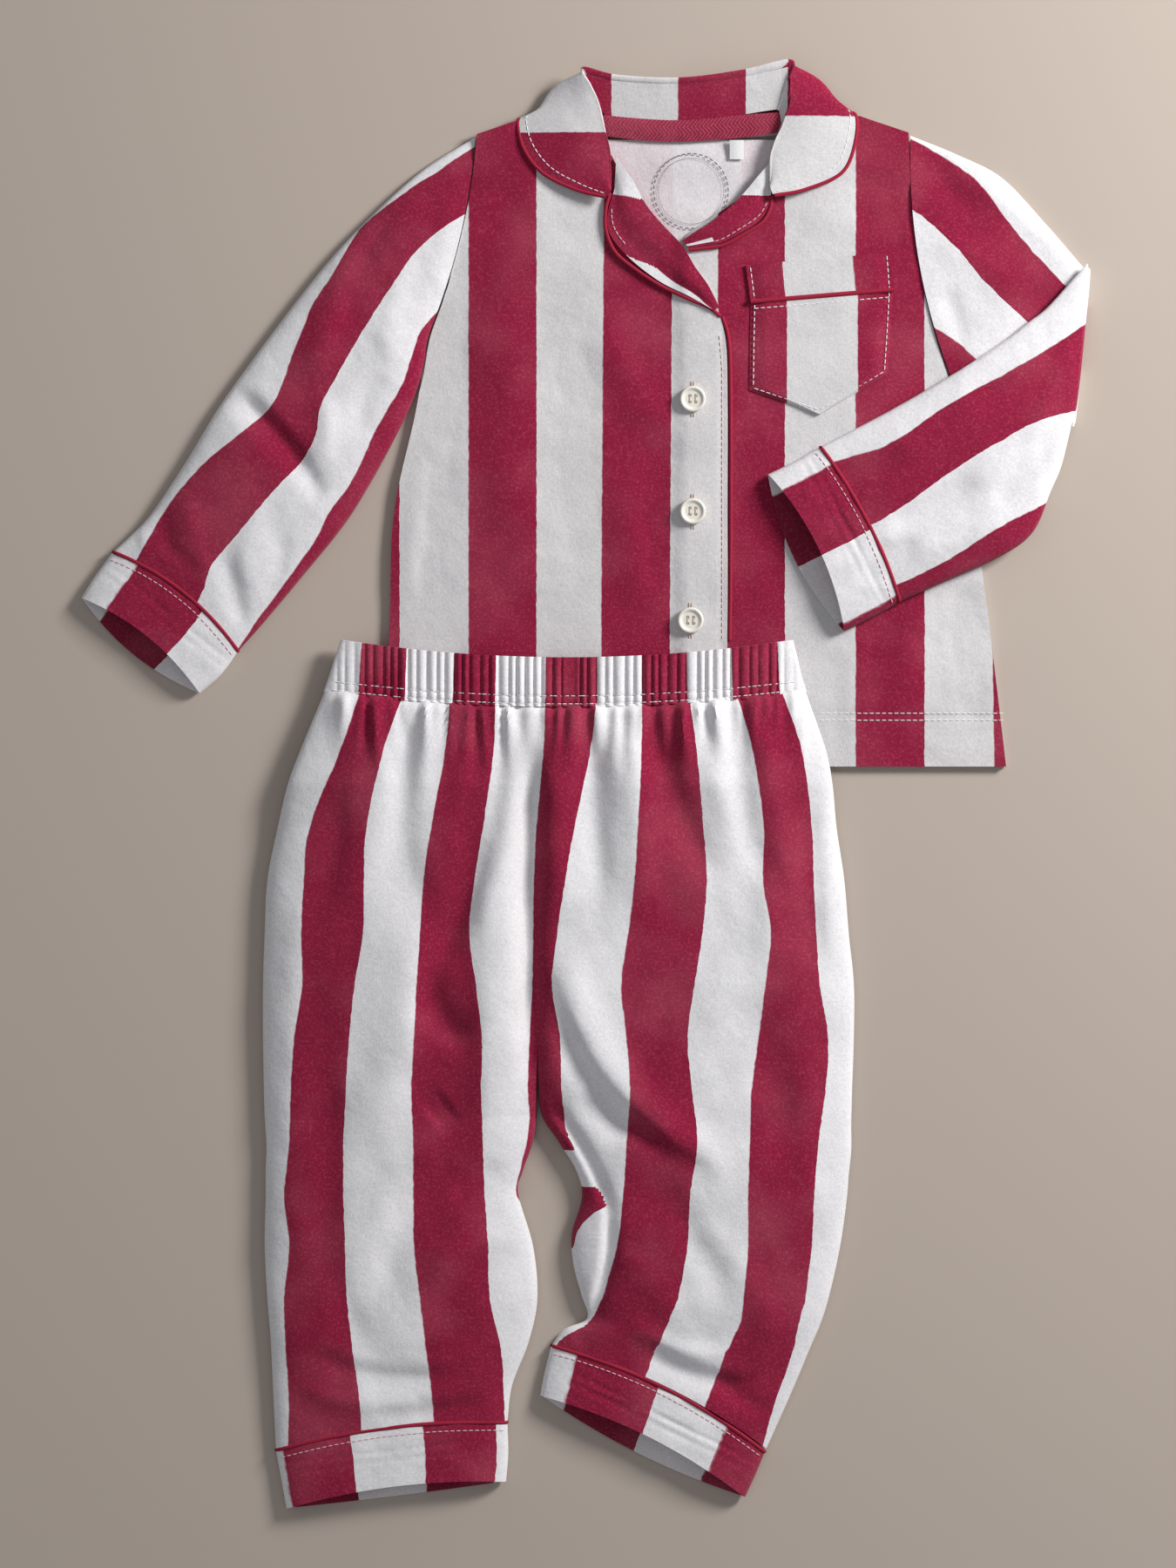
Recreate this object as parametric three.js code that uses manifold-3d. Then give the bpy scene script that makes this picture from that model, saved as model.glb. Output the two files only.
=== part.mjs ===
import * as THREE from 'three';
import { mergeVertices } from 'three/addons/utils/BufferGeometryUtils.js';
import Module from 'manifold-3d';

// Baby pyjama set laid flat, seen from above. Millimetres, +Z up, the collar towards +Y.
// The jacket lies on the floor, its right sleeve is folded back over its front, and the
// trousers lie over its hem.

// Cloth and seams
const WALL = 1.0;
const SEAM = 0.35;
const CORD_RADIUS = 0.95;
const CORD_ROOM = CORD_RADIUS + SEAM;
const LEAST_HOLLOW = 0.5;

// Levels above the floor
const BACK_LEVEL = 0.5;
const FRONT_LEVEL = 1.9;
const OVERLAP_LIFT = 1.4;
const NECK_LIFT = 1.6;
const LYING_ON = 0.4;

// Waistband
const BAND_RIBS = 46;
const RIB_DEPTH = 0.55;

// Buttons
const BUTTON_RADIUS = 6;
const BUTTON_THICKNESS = 2.2;
const BUTTON_HOLE_RADIUS = 0.75;
const BUTTON_HOLE_OFFSET = 1.35;

const COLOURS = {
  striped: [0xe8e6e8, 0.9],
  crimson: [0x9c2440, 0.9],
  pale: [0xe6e4e6, 0.9],
  cream: [0xece6da, 0.35],
};

// Curves through short tables
const smooth = (a, b, x) => {
  const t = Math.min(1, Math.max(0, (x - a) / (b - a)));
  return t * t * (3 - 2 * t);
};

const rowsOf = (names, rows) => rows.map(
  (row) => Object.fromEntries(names.map((name, i) => [name, row[i]])),
);

// The row at v of a table: a curve through the rows for places, straight lines for heights.
const HEIGHTS = ['mid', 'up', 'dn', 'shut', 'turn', 'z'];
function rowAt(rows, v) {
  const i = Math.min(rows.length - 2, Math.max(0, Math.floor(v)));
  const t = v - i;
  const out = {};
  for (const name of Object.keys(rows[0])) {
    const [b, c] = [rows[i][name], rows[i + 1][name]];
    const a = i > 0 ? rows[i - 1][name] : 2 * b - c;
    const d = i + 2 < rows.length ? rows[i + 2][name] : 2 * c - b;
    if (HEIGHTS.includes(name)) {
      out[name] = b + (c - b) * t;
    } else {
      const bend = (2 * a - 5 * b + 4 * c - d) * t * t + (3 * b - a - 3 * c + d) * t * t * t;
      out[name] = b + 0.5 * ((c - a) * t + bend);
    }
  }
  return out;
}

// Largest folds: a soft ridge (or trough, with a negative height) along a bent line
const FOLD = ['on', 'x0', 'y0', 'x1', 'y1', 'bend', 'left', 'right', 'height'];
const FOLDS = rowsOf(FOLD, [
  ['leg', -25, 22, -25, -143, 2, 9, 9, -4.5],
  ['leg', -43, 28, -73, -86, -10, 8, 10, -3.2],
  ['leg', -74, -92, -56, -118, 4, 9, 9, -2.4],
  ['leg', -42, 6, -44, -175, 3, 12, 9, 2.0],
  ['leg', -80, 34, -78, -58, 5, 9, 9, -1.6],
  ['leg', -81, -76, -99, -160, -5, 11, 12, 2.0],
  ['leg', -16, 12, -14, -60, 0, 8, 8, 1.6],
  ['leg', 2, 16, 5, -52, 0, 7, 7, -1.8],
  ['leg', 23, 14, 25, -60, 0, 8, 8, 1.5],
  ['leg', 29, 30, 57, -42, 3, 8, 8, -1.8],
  ['leg', -12, -88, 57, -172, 12, 12, 8, 3.0],
  ['leg', -3, -144, 18, -160, 0, 8, 8, -2.0],
  ['leg', 102, -6, 103, -78, 0, 7, 7, -1.8],
  ['leg', 26, -258, 70, -272, 4, 7, 7, -2.0],
  ['leg', -120, -268, -62, -276, 5, 6, 7, -1.4],
  ['leg', -16, -150, 9, -194, -2, 5, 5, -3.0],
  ['leg', 9, -196, -4, -250, -5, 5, 5, -3.0],
  ['left', -162, 180, -126, 140, -2, 5, 7, -2.6],
  ['left', -107, 244, -126, 188, 0, 8, 8, 1.8],
  ['left', -166, 104, -158, 74, 0, 5, 5, -1.5],
  ['fore', 130, 150, 214, 196, 3, 10, 10, 1.5],
  ['fore', 140, 118, 176, 138, 0, 7, 7, -1.8],
  ['body', -36, 230, -30, 110, 4, 16, 16, 1.5],
]);

function foldHeight(on, x, y) {
  let z = 0;
  for (const f of FOLDS) {
    if (f.on !== on) continue;
    const dx = f.x1 - f.x0;
    const dy = f.y1 - f.y0;
    const length = Math.hypot(dx, dy);
    const s = ((x - f.x0) * dx + (y - f.y0) * dy) / (length * length);
    const side = ((x - f.x0) * dy - (y - f.y0) * dx) / length;
    const off = side - f.bend * 4 * s * (1 - s) * (s > 0 && s < 1 ? 1 : 0);
    const width = off < 0 ? f.left : f.right;
    const fade = smooth(-0.18, 0.2, s) * (1 - smooth(0.8, 1.18, s));
    z += f.height * fade * Math.exp(-((off / width) ** 2));
  }
  return z;
}

// Closed walls
const triangles = (cols, rows, wrap, flip, base, out) => {
  for (let j = 0; j + 1 < rows; j += 1) {
    for (let i = 0; i + (wrap ? 0 : 1) < cols; i += 1) {
      const k = (i + 1) % cols;
      const [a, b] = [base + j * cols + i, base + j * cols + k];
      const [c, d] = [a + cols, b + cols];
      if (flip) out.push(a, c, b, b, c, d);
      else out.push(a, b, c, b, d, c);
    }
  }
};

function finish(name, look, points, index) {
  let volume = 0;
  for (let i = 0; i < index.length; i += 3) {
    const [a, b, c] = [0, 1, 2].map((k) => points[index[i + k]]);
    volume += a.dot(new THREE.Vector3().crossVectors(b, c));
  }
  if (volume < 0) {
    for (let i = 0; i < index.length; i += 3) {
      [index[i], index[i + 1]] = [index[i + 1], index[i]];
    }
  }
  const geometry = new THREE.BufferGeometry();
  geometry.setAttribute(
    'position',
    new THREE.Float32BufferAttribute(points.flatMap((p) => [p.x, p.y, p.z]), 3),
  );
  geometry.setIndex(index);
  geometry.computeVertexNormals();
  const [color, roughness] = COLOURS[look];
  const mesh = new THREE.Mesh(
    geometry,
    new THREE.MeshStandardMaterial({ color, roughness, metalness: 0 }),
  );
  mesh.name = name;
  return mesh;
}

// A wall between an outer and an inner grid of points, with rims on its open edges.
function wall(name, look, outer, inner, wrap = false) {
  const rows = outer.length;
  const cols = outer[0].length;
  const points = [...outer.flat(), ...inner.flat()];
  const index = [];
  const size = rows * cols;
  triangles(cols, rows, wrap, false, 0, index);
  triangles(cols, rows, wrap, true, size, index);
  const rim = (a, b) => index.push(a, b, a + size, b, b + size, a + size);
  for (let i = 0; i + (wrap ? 0 : 1) < cols; i += 1) {
    const k = (i + 1) % cols;
    rim(k, i);
    rim((rows - 1) * cols + i, (rows - 1) * cols + k);
  }
  if (!wrap) {
    for (let j = 0; j + 1 < rows; j += 1) {
      rim(j * cols, (j + 1) * cols);
      rim((j + 2) * cols - 1, (j + 1) * cols - 1);
    }
  }
  return finish(name, look, points, index);
}

// A wall of even thickness on both sides of a middle grid.
function sheet(name, look, grid, thick = WALL) {
  const rows = grid.length;
  const cols = grid[0].length;
  const sides = [1, -1].map((sign) => grid.map((line, j) => line.map((p, i) => {
    const u = new THREE.Vector3().subVectors(
      line[Math.min(cols - 1, i + 1)],
      line[Math.max(0, i - 1)],
    );
    const v = new THREE.Vector3().subVectors(
      grid[Math.min(rows - 1, j + 1)][i],
      grid[Math.max(0, j - 1)][i],
    );
    const n = new THREE.Vector3().crossVectors(u, v).normalize();
    return p.clone().addScaledVector(n, sign * thick / 2);
  })));
  return wall(name, look, sides[0], sides[1]);
}

// A round cord along a line of points.
function cord(name, look, path, closed = false, radius = CORD_RADIUS, sides = 6) {
  const count = path.length;
  const rings = path.map((p, i) => {
    const before = closed ? path[(i + count - 1) % count] : path[Math.max(0, i - 1)];
    const after = closed ? path[(i + 1) % count] : path[Math.min(count - 1, i + 1)];
    const along = new THREE.Vector3().subVectors(after, before).normalize();
    const tilt = Math.abs(along.z) > 0.9 ? new THREE.Vector3(1, 0, 0) : new THREE.Vector3(0, 0, 1);
    const side = new THREE.Vector3().crossVectors(along, tilt).normalize();
    const up = new THREE.Vector3().crossVectors(side, along).normalize();
    return Array.from({ length: sides }, (_, k) => {
      const a = (k / sides) * Math.PI * 2;
      return p.clone()
        .addScaledVector(side, radius * Math.cos(a))
        .addScaledVector(up, radius * Math.sin(a));
    });
  });
  const points = rings.flat();
  const index = [];
  if (closed) {
    const firstRing = rings[0];
    points.push(...firstRing.map((p) => p.clone()));
    triangles(sides, count + 1, true, false, 0, index);
    const wrapRing = count * sides;
    const joined = index.map((k) => (k >= wrapRing ? k - wrapRing : k));
    return finish(name, look, points.slice(0, wrapRing), joined);
  }
  triangles(sides, count, true, false, 0, index);
  for (let k = 1; k + 1 < sides; k += 1) {
    index.push(0, k + 1, k);
    const last = (count - 1) * sides;
    index.push(last, last + k, last + k + 1);
  }
  return finish(name, look, points, index);
}

// Flat tubes. A row gives the left and right edge of the tube lying flat, the height of its
// middle plane, its depth above (up) and below (dn) it, its turn over a fold, and how far its
// upper and lower sides bow along the tube between the edges.
const TUBE = ['lx', 'ly', 'rx', 'ry', 'mid', 'up', 'dn', 'turn', 'bowUp', 'bowDn'];
const DOME = 2.5;
const FLOOR_SIDE = 7;

const dome = (t, power) => (1 - Math.min(1, Math.abs(t)) ** power) ** (1 / power);

function tubePoint(row, t, upper, inset, on) {
  const w = new THREE.Vector3(row.rx - row.lx, row.ry - row.ly, 0);
  const half = w.length() / 2;
  w.normalize();
  const ahead = new THREE.Vector3(-w.y, w.x, 0);
  const angle = THREE.MathUtils.degToRad(row.turn);
  const n = new THREE.Vector3(0, 0, Math.cos(angle))
    .addScaledVector(ahead, -Math.sin(angle));
  const travel = new THREE.Vector3(0, 0, Math.sin(angle))
    .addScaledVector(ahead, Math.cos(angle));
  const turned = row.turn > 90;
  const domed = upper !== turned;
  const depth = (upper ? row.up : row.dn) - inset;
  const rise = depth * dome(t, domed ? DOME : FLOOR_SIDE);
  const bow = (upper ? row.bowUp : row.bowDn) * (1 - t * t);
  const p = new THREE.Vector3((row.lx + row.rx) / 2, (row.ly + row.ry) / 2, row.mid)
    .addScaledVector(w, t * (half - inset))
    .addScaledVector(n, upper ? rise : -rise)
    .addScaledVector(travel, bow);
  if (domed && on && Math.abs(Math.sin(angle)) < 0.2) {
    const room = Math.max(0, row.up + row.dn - 2 * WALL - LEAST_HOLLOW);
    p.z += Math.max(-room, foldHeight(on, p.x, p.y)) * (1 - t ** 6);
  }
  return p;
}

// Places across a flat side from edge to edge, closer together near the edges.
const across = (count) => Array.from({ length: count + 1 }, (_, i) => {
  const q = (2 * i) / count - 1;
  return 0.5 * q + 0.5 * Math.sin((Math.PI / 2) * q);
});

function tubeRing(row, count, inset, on) {
  const ts = across(count);
  const top = ts.map((t) => tubePoint(row, t, true, inset, on));
  const bottom = ts.slice(1, -1).reverse().map((t) => tubePoint(row, t, false, inset, on));
  return [...top, ...bottom];
}

function tube(name, look, rows, steps, count, on, room = [0, 0]) {
  const from = rowAt(rows, 0);
  const to = rowAt(rows, rows.length - 1);
  const lengthOf = (a, b) => Math.min(
    Math.hypot(a.lx - b.lx, a.ly - b.ly),
    Math.hypot(a.rx - b.rx, a.ry - b.ry),
  );
  const first = room[0] / lengthOf(from, rowAt(rows, 1));
  const last = room[1] / lengthOf(to, rowAt(rows, rows.length - 2));
  const end = rows.length - 1 - last;
  const vs = Array.from({ length: steps + 1 }, (_, j) => first + ((end - first) * j) / steps);
  const grid = (inset) => vs.map((v) => tubeRing(rowAt(rows, v), count, inset, on));
  return wall(name, look, grid(0), grid(WALL), true);
}

// The cord in a cuff seam: it follows the middle of the wall and keeps above the underside.
function ringCord(name, row, count) {
  const under = row.mid - (row.turn > 90 ? row.up : row.dn);
  const path = tubeRing(row, count, WALL / 2, null);
  for (const p of path) p.z = Math.max(p.z, under + CORD_RADIUS);
  return cord(name, 'crimson', path, true);
}

// Left sleeve, from the armhole to the cuff seam, and its cuff
const LEFT_SLEEVE = rowsOf(TUBE, [
  [-51.5, 297, -71.5, 210.5, 1.7, 2.0, 1.7, 0, 3.4, 3.4],
  [-78, 280, -74, 202, 1.7, 4.5, 1.7, 0, 1.4, 1.4],
  [-102, 258, -75, 194, 1.7, 6.0, 1.7, 0, 0, 0],
  [-118, 241, -77.5, 184, 1.7, 7.0, 1.7, 0, 0, 0],
  [-135, 220, -82, 172, 1.7, 7.0, 1.7, 0, 0, 0],
  [-153, 196, -91, 154, 1.7, 7.5, 1.7, 0, 0, 0],
  [-170, 172, -101, 136, 1.7, 8.0, 1.7, 0, 0, 0],
  [-184.5, 148, -112.5, 118, 1.7, 8.0, 1.7, 0, 0, 0],
  [-200.5, 124, -132, 94, 1.7, 7.0, 1.7, 0, 2, 0],
  [-211, 113, -148, 75, 1.7, 6.0, 1.7, 0, 4, 1],
  [-218, 106.5, -160.5, 61, 1.7, 5.5, 1.7, 0, 5.6, 2],
]);
const LEFT_CUFF = rowsOf(TUBE, [
  [-218, 106.5, -160.5, 61, 1.7, 5.5, 1.7, 0, 5.6, 2],
  [-226.5, 95, -168.5, 50, 1.8, 6.2, 1.8, 0, 5.4, -1.5],
  [-232.5, 85.5, -178, 41.5, 1.8, 6.5, 1.8, 0, 5.3, -5.3],
]);

// Right sleeve: out to the fold at the right, round it, and back over the jacket
const FOLD_RADIUS = 2.4;
const FOLD_HALF = 1.7;
const FOLD_LINE = { lx: 230.8, ly: 236.8, rx: 225.4, ry: 164 };
const UPPER_ARM = rowsOf(TUBE, [
  [148, 297.5, 167, 185.5, 1.7, 2.0, 1.7, 0, -6, -6],
  [170, 288.5, 178, 181.5, 1.7, 2.6, 1.7, 0, -2.6, -2.6],
  [190, 278, 192, 176.5, 1.7, 2.4, 1.7, 0, 0, 0],
  [210, 257, 208, 170.5, 1.7, 1.8, 1.7, 0, 0, 0],
]);
const FOREARM = rowsOf(TUBE, [
  [211, 219, 217, 146, 6.5, 1.7, 3.6, 180, 0, 0],
  [201, 211, 212, 134, 6.5, 1.7, 4.8, 180, 0, 0],
  [190, 202.5, 204, 115.5, 6.5, 1.7, 6.0, 180, 0, 0],
  [170, 189.5, 189.5, 104.5, 6.5, 1.7, 7.0, 180, 0, 0],
  [138, 171, 164, 93, 4.9, 1.7, 8.0, 180, 0, 0],
  [106.5, 154.5, 143, 83.5, 4.7, 1.7, 6.8, 180, -1, -3.3],
]);
const RIGHT_CUFF = rowsOf(TUBE, [
  [106.5, 154.5, 143, 83.5, 4.7, 1.7, 6.8, 180, -1, -3.3],
  [95, 148, 130.5, 76.5, 4.8, 1.8, 7.2, 180, 3, -5],
  [82.5, 142, 117.5, 70, 4.8, 1.8, 7.4, 180, 6, -5.7],
]);

function foldedRows() {
  const w = new THREE.Vector2(FOLD_LINE.rx - FOLD_LINE.lx, FOLD_LINE.ry - FOLD_LINE.ly);
  w.normalize();
  const out = new THREE.Vector2(-w.y, w.x);
  const bend = [15, 50, 90, 130, 165].map((turn) => {
    const a = THREE.MathUtils.degToRad(turn);
    const reach = FOLD_RADIUS * Math.sin(a) - FOLD_RADIUS - FOLD_HALF;
    return {
      lx: FOLD_LINE.lx + out.x * reach,
      ly: FOLD_LINE.ly + out.y * reach,
      rx: FOLD_LINE.rx + out.x * reach,
      ry: FOLD_LINE.ry + out.y * reach,
      mid: FOLD_HALF + FOLD_RADIUS * (1 - Math.cos(a)),
      up: FOLD_HALF,
      dn: FOLD_HALF,
      turn,
      bowUp: 0,
      bowDn: 0,
    };
  });
  return [...UPPER_ARM, ...bend, ...FOREARM];
}

// Jacket body. A row gives the side edge and the opening edge of a panel at a height.
const BODY = ['y', 'side', 'open'];
const BACK_LEFT = rowsOf(BODY, [
  [298, -50.8, 38],
  [286, -52, 38],
  [274, -53.6, 38],
  [260, -56.4, 38],
  [248, -59.2, 38],
  [236, -62.4, 38],
  [225, -65.6, 38],
  [210, -71.2, 38],
  [188, -76.5, 38],
  [160, -79, 38],
  [124, -89, 38],
  [76, -91, 38],
  [8, -94, 38],
]);
const BACK_RIGHT = rowsOf(BODY, [
  [298, 147, 38],
  [286, 147.4, 38],
  [274, 148, 38],
  [260, 148.8, 38],
  [248, 150.2, 38],
  [236, 152.2, 38],
  [225, 154.4, 38],
  [210, 158.2, 38],
  [188, 165.4, 38],
  [160, 171, 38],
  [124, 177, 38],
  [76, 184, 38],
  [7, 192, 38],
]);
const FRONT_LEFT = rowsOf(BODY, [
  [296, -51, 6],
  [288, -51.8, 11],
  [270, -54.3, 22],
  [258, -56.8, 32],
  [247, -59.4, 42],
  [236, -62.4, 49],
  [225, -65.6, 57],
  [205, -72.5, 63],
  [180, -77.5, 64],
  [124, -89, 64],
  [76, -91, 64],
  [8, -94, 63],
]);
const FRONT_RIGHT = rowsOf(BODY, [
  [296, 147, 88],
  [282, 147.6, 85],
  [270, 148.2, 71.5],
  [259, 149, 56],
  [250, 150, 44],
  [246, 150.5, 44.5],
  [225, 154.4, 46.5],
  [205, 159.6, 46.5],
  [180, 167.5, 46.5],
  [124, 177, 46.5],
  [76, 184, 46.5],
  [7, 192, 46.5],
]);

// Heights at which all body panels are cut into strips
const STRIPS = [
  295.5, 290, 283, 276, 270, 259, 247, 236, 225, 205, 180, 150, 124, 98, 76, 40, 8,
];

// The cloth of the jacket back rises over the collar behind the neck.
const neckLift = (y) => NECK_LIFT * smooth(270, 290, y);

// The left front climbs over the right one along the buttons.
const LAP = 18;
const LAP_CLIMB = 9;

function frontLevel(x, y, left) {
  const puff = Math.max(0, foldHeight('body', x, y)) * smooth(76, 98, y);
  const lift = left ? OVERLAP_LIFT * smooth(64 - LAP - LAP_CLIMB, 64 - LAP, x) : 0;
  return FRONT_LEVEL + neckLift(y) + puff + lift;
}

// The row of a panel table at height y
function rowAtHeight(rows, y) {
  const i = rows.findIndex((row, k) => k + 1 < rows.length && y >= rows[k + 1].y);
  const k = i < 0 ? rows.length - 2 : i;
  return rowAt(rows, k + (rows[k].y - y) / (rows[k].y - rows[k + 1].y));
}

// Places across a front: even steps, then the climb and the lap.
function frontAcross(row, steps) {
  const side = row.side + Math.sign(row.open - row.side) * SEAM;
  const start = row.open > row.side ? row.open - LAP - LAP_CLIMB : row.open;
  const even = Array.from({ length: steps + 1 }, (_, i) => side + ((start - side) * i) / steps);
  if (row.open < row.side) return even;
  return [...even, start + LAP_CLIMB / 2, start + LAP_CLIMB, row.open - LAP / 2, row.open];
}

function jacketFront(name, rows, left, steps) {
  const grid = STRIPS.map((y) => frontAcross(rowAtHeight(rows, y), steps)
    .map((x) => new THREE.Vector3(x, y, frontLevel(x, y, left))));
  return sheet(name, 'striped', grid);
}

function jacketBack() {
  const count = 8;
  const grid = STRIPS.map((y) => {
    const x0 = rowAtHeight(BACK_LEFT, y).side + SEAM;
    const x1 = rowAtHeight(BACK_RIGHT, y).side - SEAM;
    return Array.from({ length: count + 1 }, (_, i) => {
      const x = x0 + (x1 - x0) * (i / count);
      return new THREE.Vector3(x, y, BACK_LEVEL + neckLift(y));
    });
  });
  return sheet('jacket_back', 'striped', grid);
}

// Collar. A row gives the neck seam, the roll, the middle of the leaf and its free edge.
const COLLAR = [
  'sx', 'sy', 'sz', 'rx', 'ry', 'rz', 'mx', 'my', 'mz', 'ex', 'ey', 'ez',
];
const COLLAR_ROWS = rowsOf(COLLAR, [
  [5.5, 276, 6.0, 10.5, 274, 7.2, 8.5, 271.5, 7.8, 5, 270, 7.6],
  [4.5, 290, 5.4, 10.6, 289, 7.4, 3, 283, 7.6, -5, 273, 6.2],
  [2.5, 301, 5.4, 7.6, 299, 7.8, -5, 292, 7.6, -20, 280.5, 5.4],
  [4, 308, 5.4, 4.5, 312, 8.6, -12, 304, 7.2, -29, 292, 5.2],
  [6.5, 308, 5.2, 1.5, 319, 8.8, -14, 312, 5.8, -31, 305, 3.6],
  [9, 306.5, 4.8, -1.5, 326, 8.6, -16, 318, 2.6, -21, 299, 0.9],
  [22, 305, 4.6, 14, 328, 8.2, 10, 319, 2.2, 8, 297, 0.72],
  [42, 304, 4.6, 42, 326, 8.0, 42, 318, 2.0, 42, 297, 0.72],
  [64, 306, 4.6, 70, 328, 8.2, 74, 319, 2.2, 76, 297, 0.72],
  [84, 309, 4.8, 92, 329, 8.6, 105, 321, 2.6, 108, 301, 0.9],
  [87, 309, 5.2, 92, 322, 8.8, 109, 316, 5.8, 121, 308, 3.6],
  [88, 308, 5.4, 92, 312, 8.6, 107, 305, 7.2, 122, 296, 5.2],
  [89.5, 300, 5.4, 89, 302, 7.8, 102, 293, 7.6, 116, 281, 5.4],
  [90.5, 290, 5.4, 84.5, 290, 7.4, 91, 283, 7.6, 99, 273, 6.2],
  [89, 278, 6.0, 84, 276, 7.2, 86, 273, 7.8, 89, 271.5, 7.6],
]);

// A bent line through four places of a collar row, rounded over its roll.
function collarPoint(row, s) {
  const names = ['s', 'r', 'm', 'e'];
  const points = names.map((k) => new THREE.Vector3(row[`${k}x`], row[`${k}y`], row[`${k}z`]));
  const over = points[1].clone().lerp(points[2], 0.12);
  over.z = points[1].z;
  const curve = new THREE.CatmullRomCurve3([points[0], points[1], over, points[2], points[3]]);
  return curve.getPoint(s);
}

function collarGrid(steps, count) {
  return Array.from({ length: steps + 1 }, (_, j) => {
    const row = rowAt(COLLAR_ROWS, ((COLLAR_ROWS.length - 1) * j) / steps);
    return Array.from({ length: count + 1 }, (_, i) => collarPoint(row, i / count));
  });
}

// The cord along the free edge of one collar leaf, from row v0 to row v1. It stays clear of
// the fronts and comes down past their top edge.
const CORD_OFF = 1.35;
const CORD_CLEAR = 5.3;
const TOP_EDGE = 296;
const CORD_DROP = 0.35;

function collarCord(name, v0, v1, steps) {
  const path = Array.from({ length: steps + 1 }, (_, j) => {
    const row = rowAt(COLLAR_ROWS, v0 + ((v1 - v0) * j) / steps);
    const edge = collarPoint(row, 1);
    const out = new THREE.Vector3().subVectors(edge, collarPoint(row, 0.9)).normalize();
    edge.addScaledVector(out, CORD_OFF);
    edge.z = Math.max(edge.z, CORD_CLEAR - CORD_DROP * Math.max(0, edge.y - TOP_EDGE));
    return edge;
  });
  return cord(name, 'crimson', path);
}

// Pieces that lie on the jacket fronts. A row gives the roll edge and the free edge.
const LAPEL = ['ax', 'ay', 'bx', 'by'];
const LAPEL_LEFT = rowsOf(LAPEL, [
  [13, 287, 12.5, 273],
  [20, 277.5, 9.5, 264],
  [27, 265, 9, 255],
  [35, 255.5, 13.5, 247],
  [43, 247, 23, 239.5],
  [49, 236.5, 34, 231.5],
  [54.5, 227.5, 48, 223.5],
  [58.5, 217, 56.5, 213],
]);
const LAPEL_RIGHT = rowsOf(LAPEL, [
  [85, 281, 83, 271.5],
  [78, 275.5, 82.5, 263.5],
  [72, 269, 79, 257.5],
  [65, 263.5, 72.5, 252],
  [57, 258, 63, 246.5],
  [50, 253, 52, 245],
]);

function lapel(name, rows, left, steps, count) {
  const grid = Array.from({ length: steps + 1 }, (_, j) => {
    const row = rowAt(rows, ((rows.length - 1) * j) / steps);
    return Array.from({ length: count + 1 }, (_, i) => {
      const s = i / count;
      const x = row.ax + (row.bx - row.ax) * s;
      const y = row.ay + (row.by - row.ay) * s;
      const puff = 1.6 * Math.sin(Math.PI * Math.min(1, s * 1.2)) * (s < 0.83 ? 1 : 0.4);
      return new THREE.Vector3(x, y, frontLevel(x, y, left) + WALL + LYING_ON + puff);
    });
  });
  return sheet(name, 'crimson', grid);
}

// Cords beside edges: places to go through, laid on the front
const PLACE = ['x', 'y'];
const BUTTON_EDGE = rowsOf(PLACE, [
  [63.2, 212],
  [65, 204],
  [65.5, 190],
  [65.6, 160],
  [65.6, 120],
  [65.4, 90],
  [65, 66],
]);
const LAPEL_LEFT_EDGE = rowsOf(PLACE, [
  [10.2, 271],
  [7.6, 264],
  [7.0, 255],
  [11.8, 245.6],
  [21.6, 237.4],
  [33.2, 229.4],
  [47.1, 221.4],
  [54.6, 212.9],
]);
const LAPEL_RIGHT_EDGE = rowsOf(PLACE, [
  [84.6, 269.4],
  [84, 262.8],
  [80.2, 256.4],
  [73.2, 250.6],
  [63.6, 244.8],
  [54, 243.4],
]);

function layCord(name, places, left, steps, lift, radius = CORD_RADIUS) {
  const path = Array.from({ length: steps + 1 }, (_, j) => {
    const p = rowAt(places, ((places.length - 1) * j) / steps);
    return new THREE.Vector3(p.x, p.y, frontLevel(p.x, p.y, left) + lift);
  });
  return cord(name, 'crimson', path, false, radius);
}

// Patch pocket. A row gives its left and right edge.
const POCKET = rowsOf(LAPEL, [
  [72.4, 238, 138.8, 243.6],
  [74.6, 221.2, 140, 226.6],
  [74.2, 200, 138.8, 206],
  [74, 180.5, 137.6, 188],
  [105.5, 169.8, 106.5, 169.6],
]);
const POCKET_BAND_END = 1;

function pocketPart(name, look, v0, v1, steps, count) {
  const grid = Array.from({ length: steps + 1 }, (_, j) => {
    const row = rowAt(POCKET, v0 + ((v1 - v0) * j) / steps);
    return Array.from({ length: count + 1 }, (_, i) => {
      const x = row.ax + (row.bx - row.ax) * (i / count);
      const y = row.ay + (row.by - row.ay) * (i / count);
      return new THREE.Vector3(x, y, frontLevel(x, y, false) + WALL + LYING_ON);
    });
  });
  return sheet(name, look, grid);
}

// The cord lies over the seam between the pocket and its band.
const POCKET_CORD_RADIUS = 0.8;

function pocketCord(steps) {
  const row = rowAt(POCKET, POCKET_BAND_END);
  const path = Array.from({ length: steps + 1 }, (_, j) => {
    const x = row.ax + (row.bx - row.ax) * (j / steps);
    const y = row.ay + (row.by - row.ay) * (j / steps);
    const z = frontLevel(x, y, false) + WALL / 2 + SEAM + POCKET_CORD_RADIUS;
    return new THREE.Vector3(x, y, z);
  });
  return cord('piping_pocket', 'crimson', path, false, POCKET_CORD_RADIUS);
}

// Buttons with four holes
const BUTTONS = rowsOf(PLACE, [
  [48, 176.5],
  [48, 125],
  [47, 75],
]);

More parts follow.
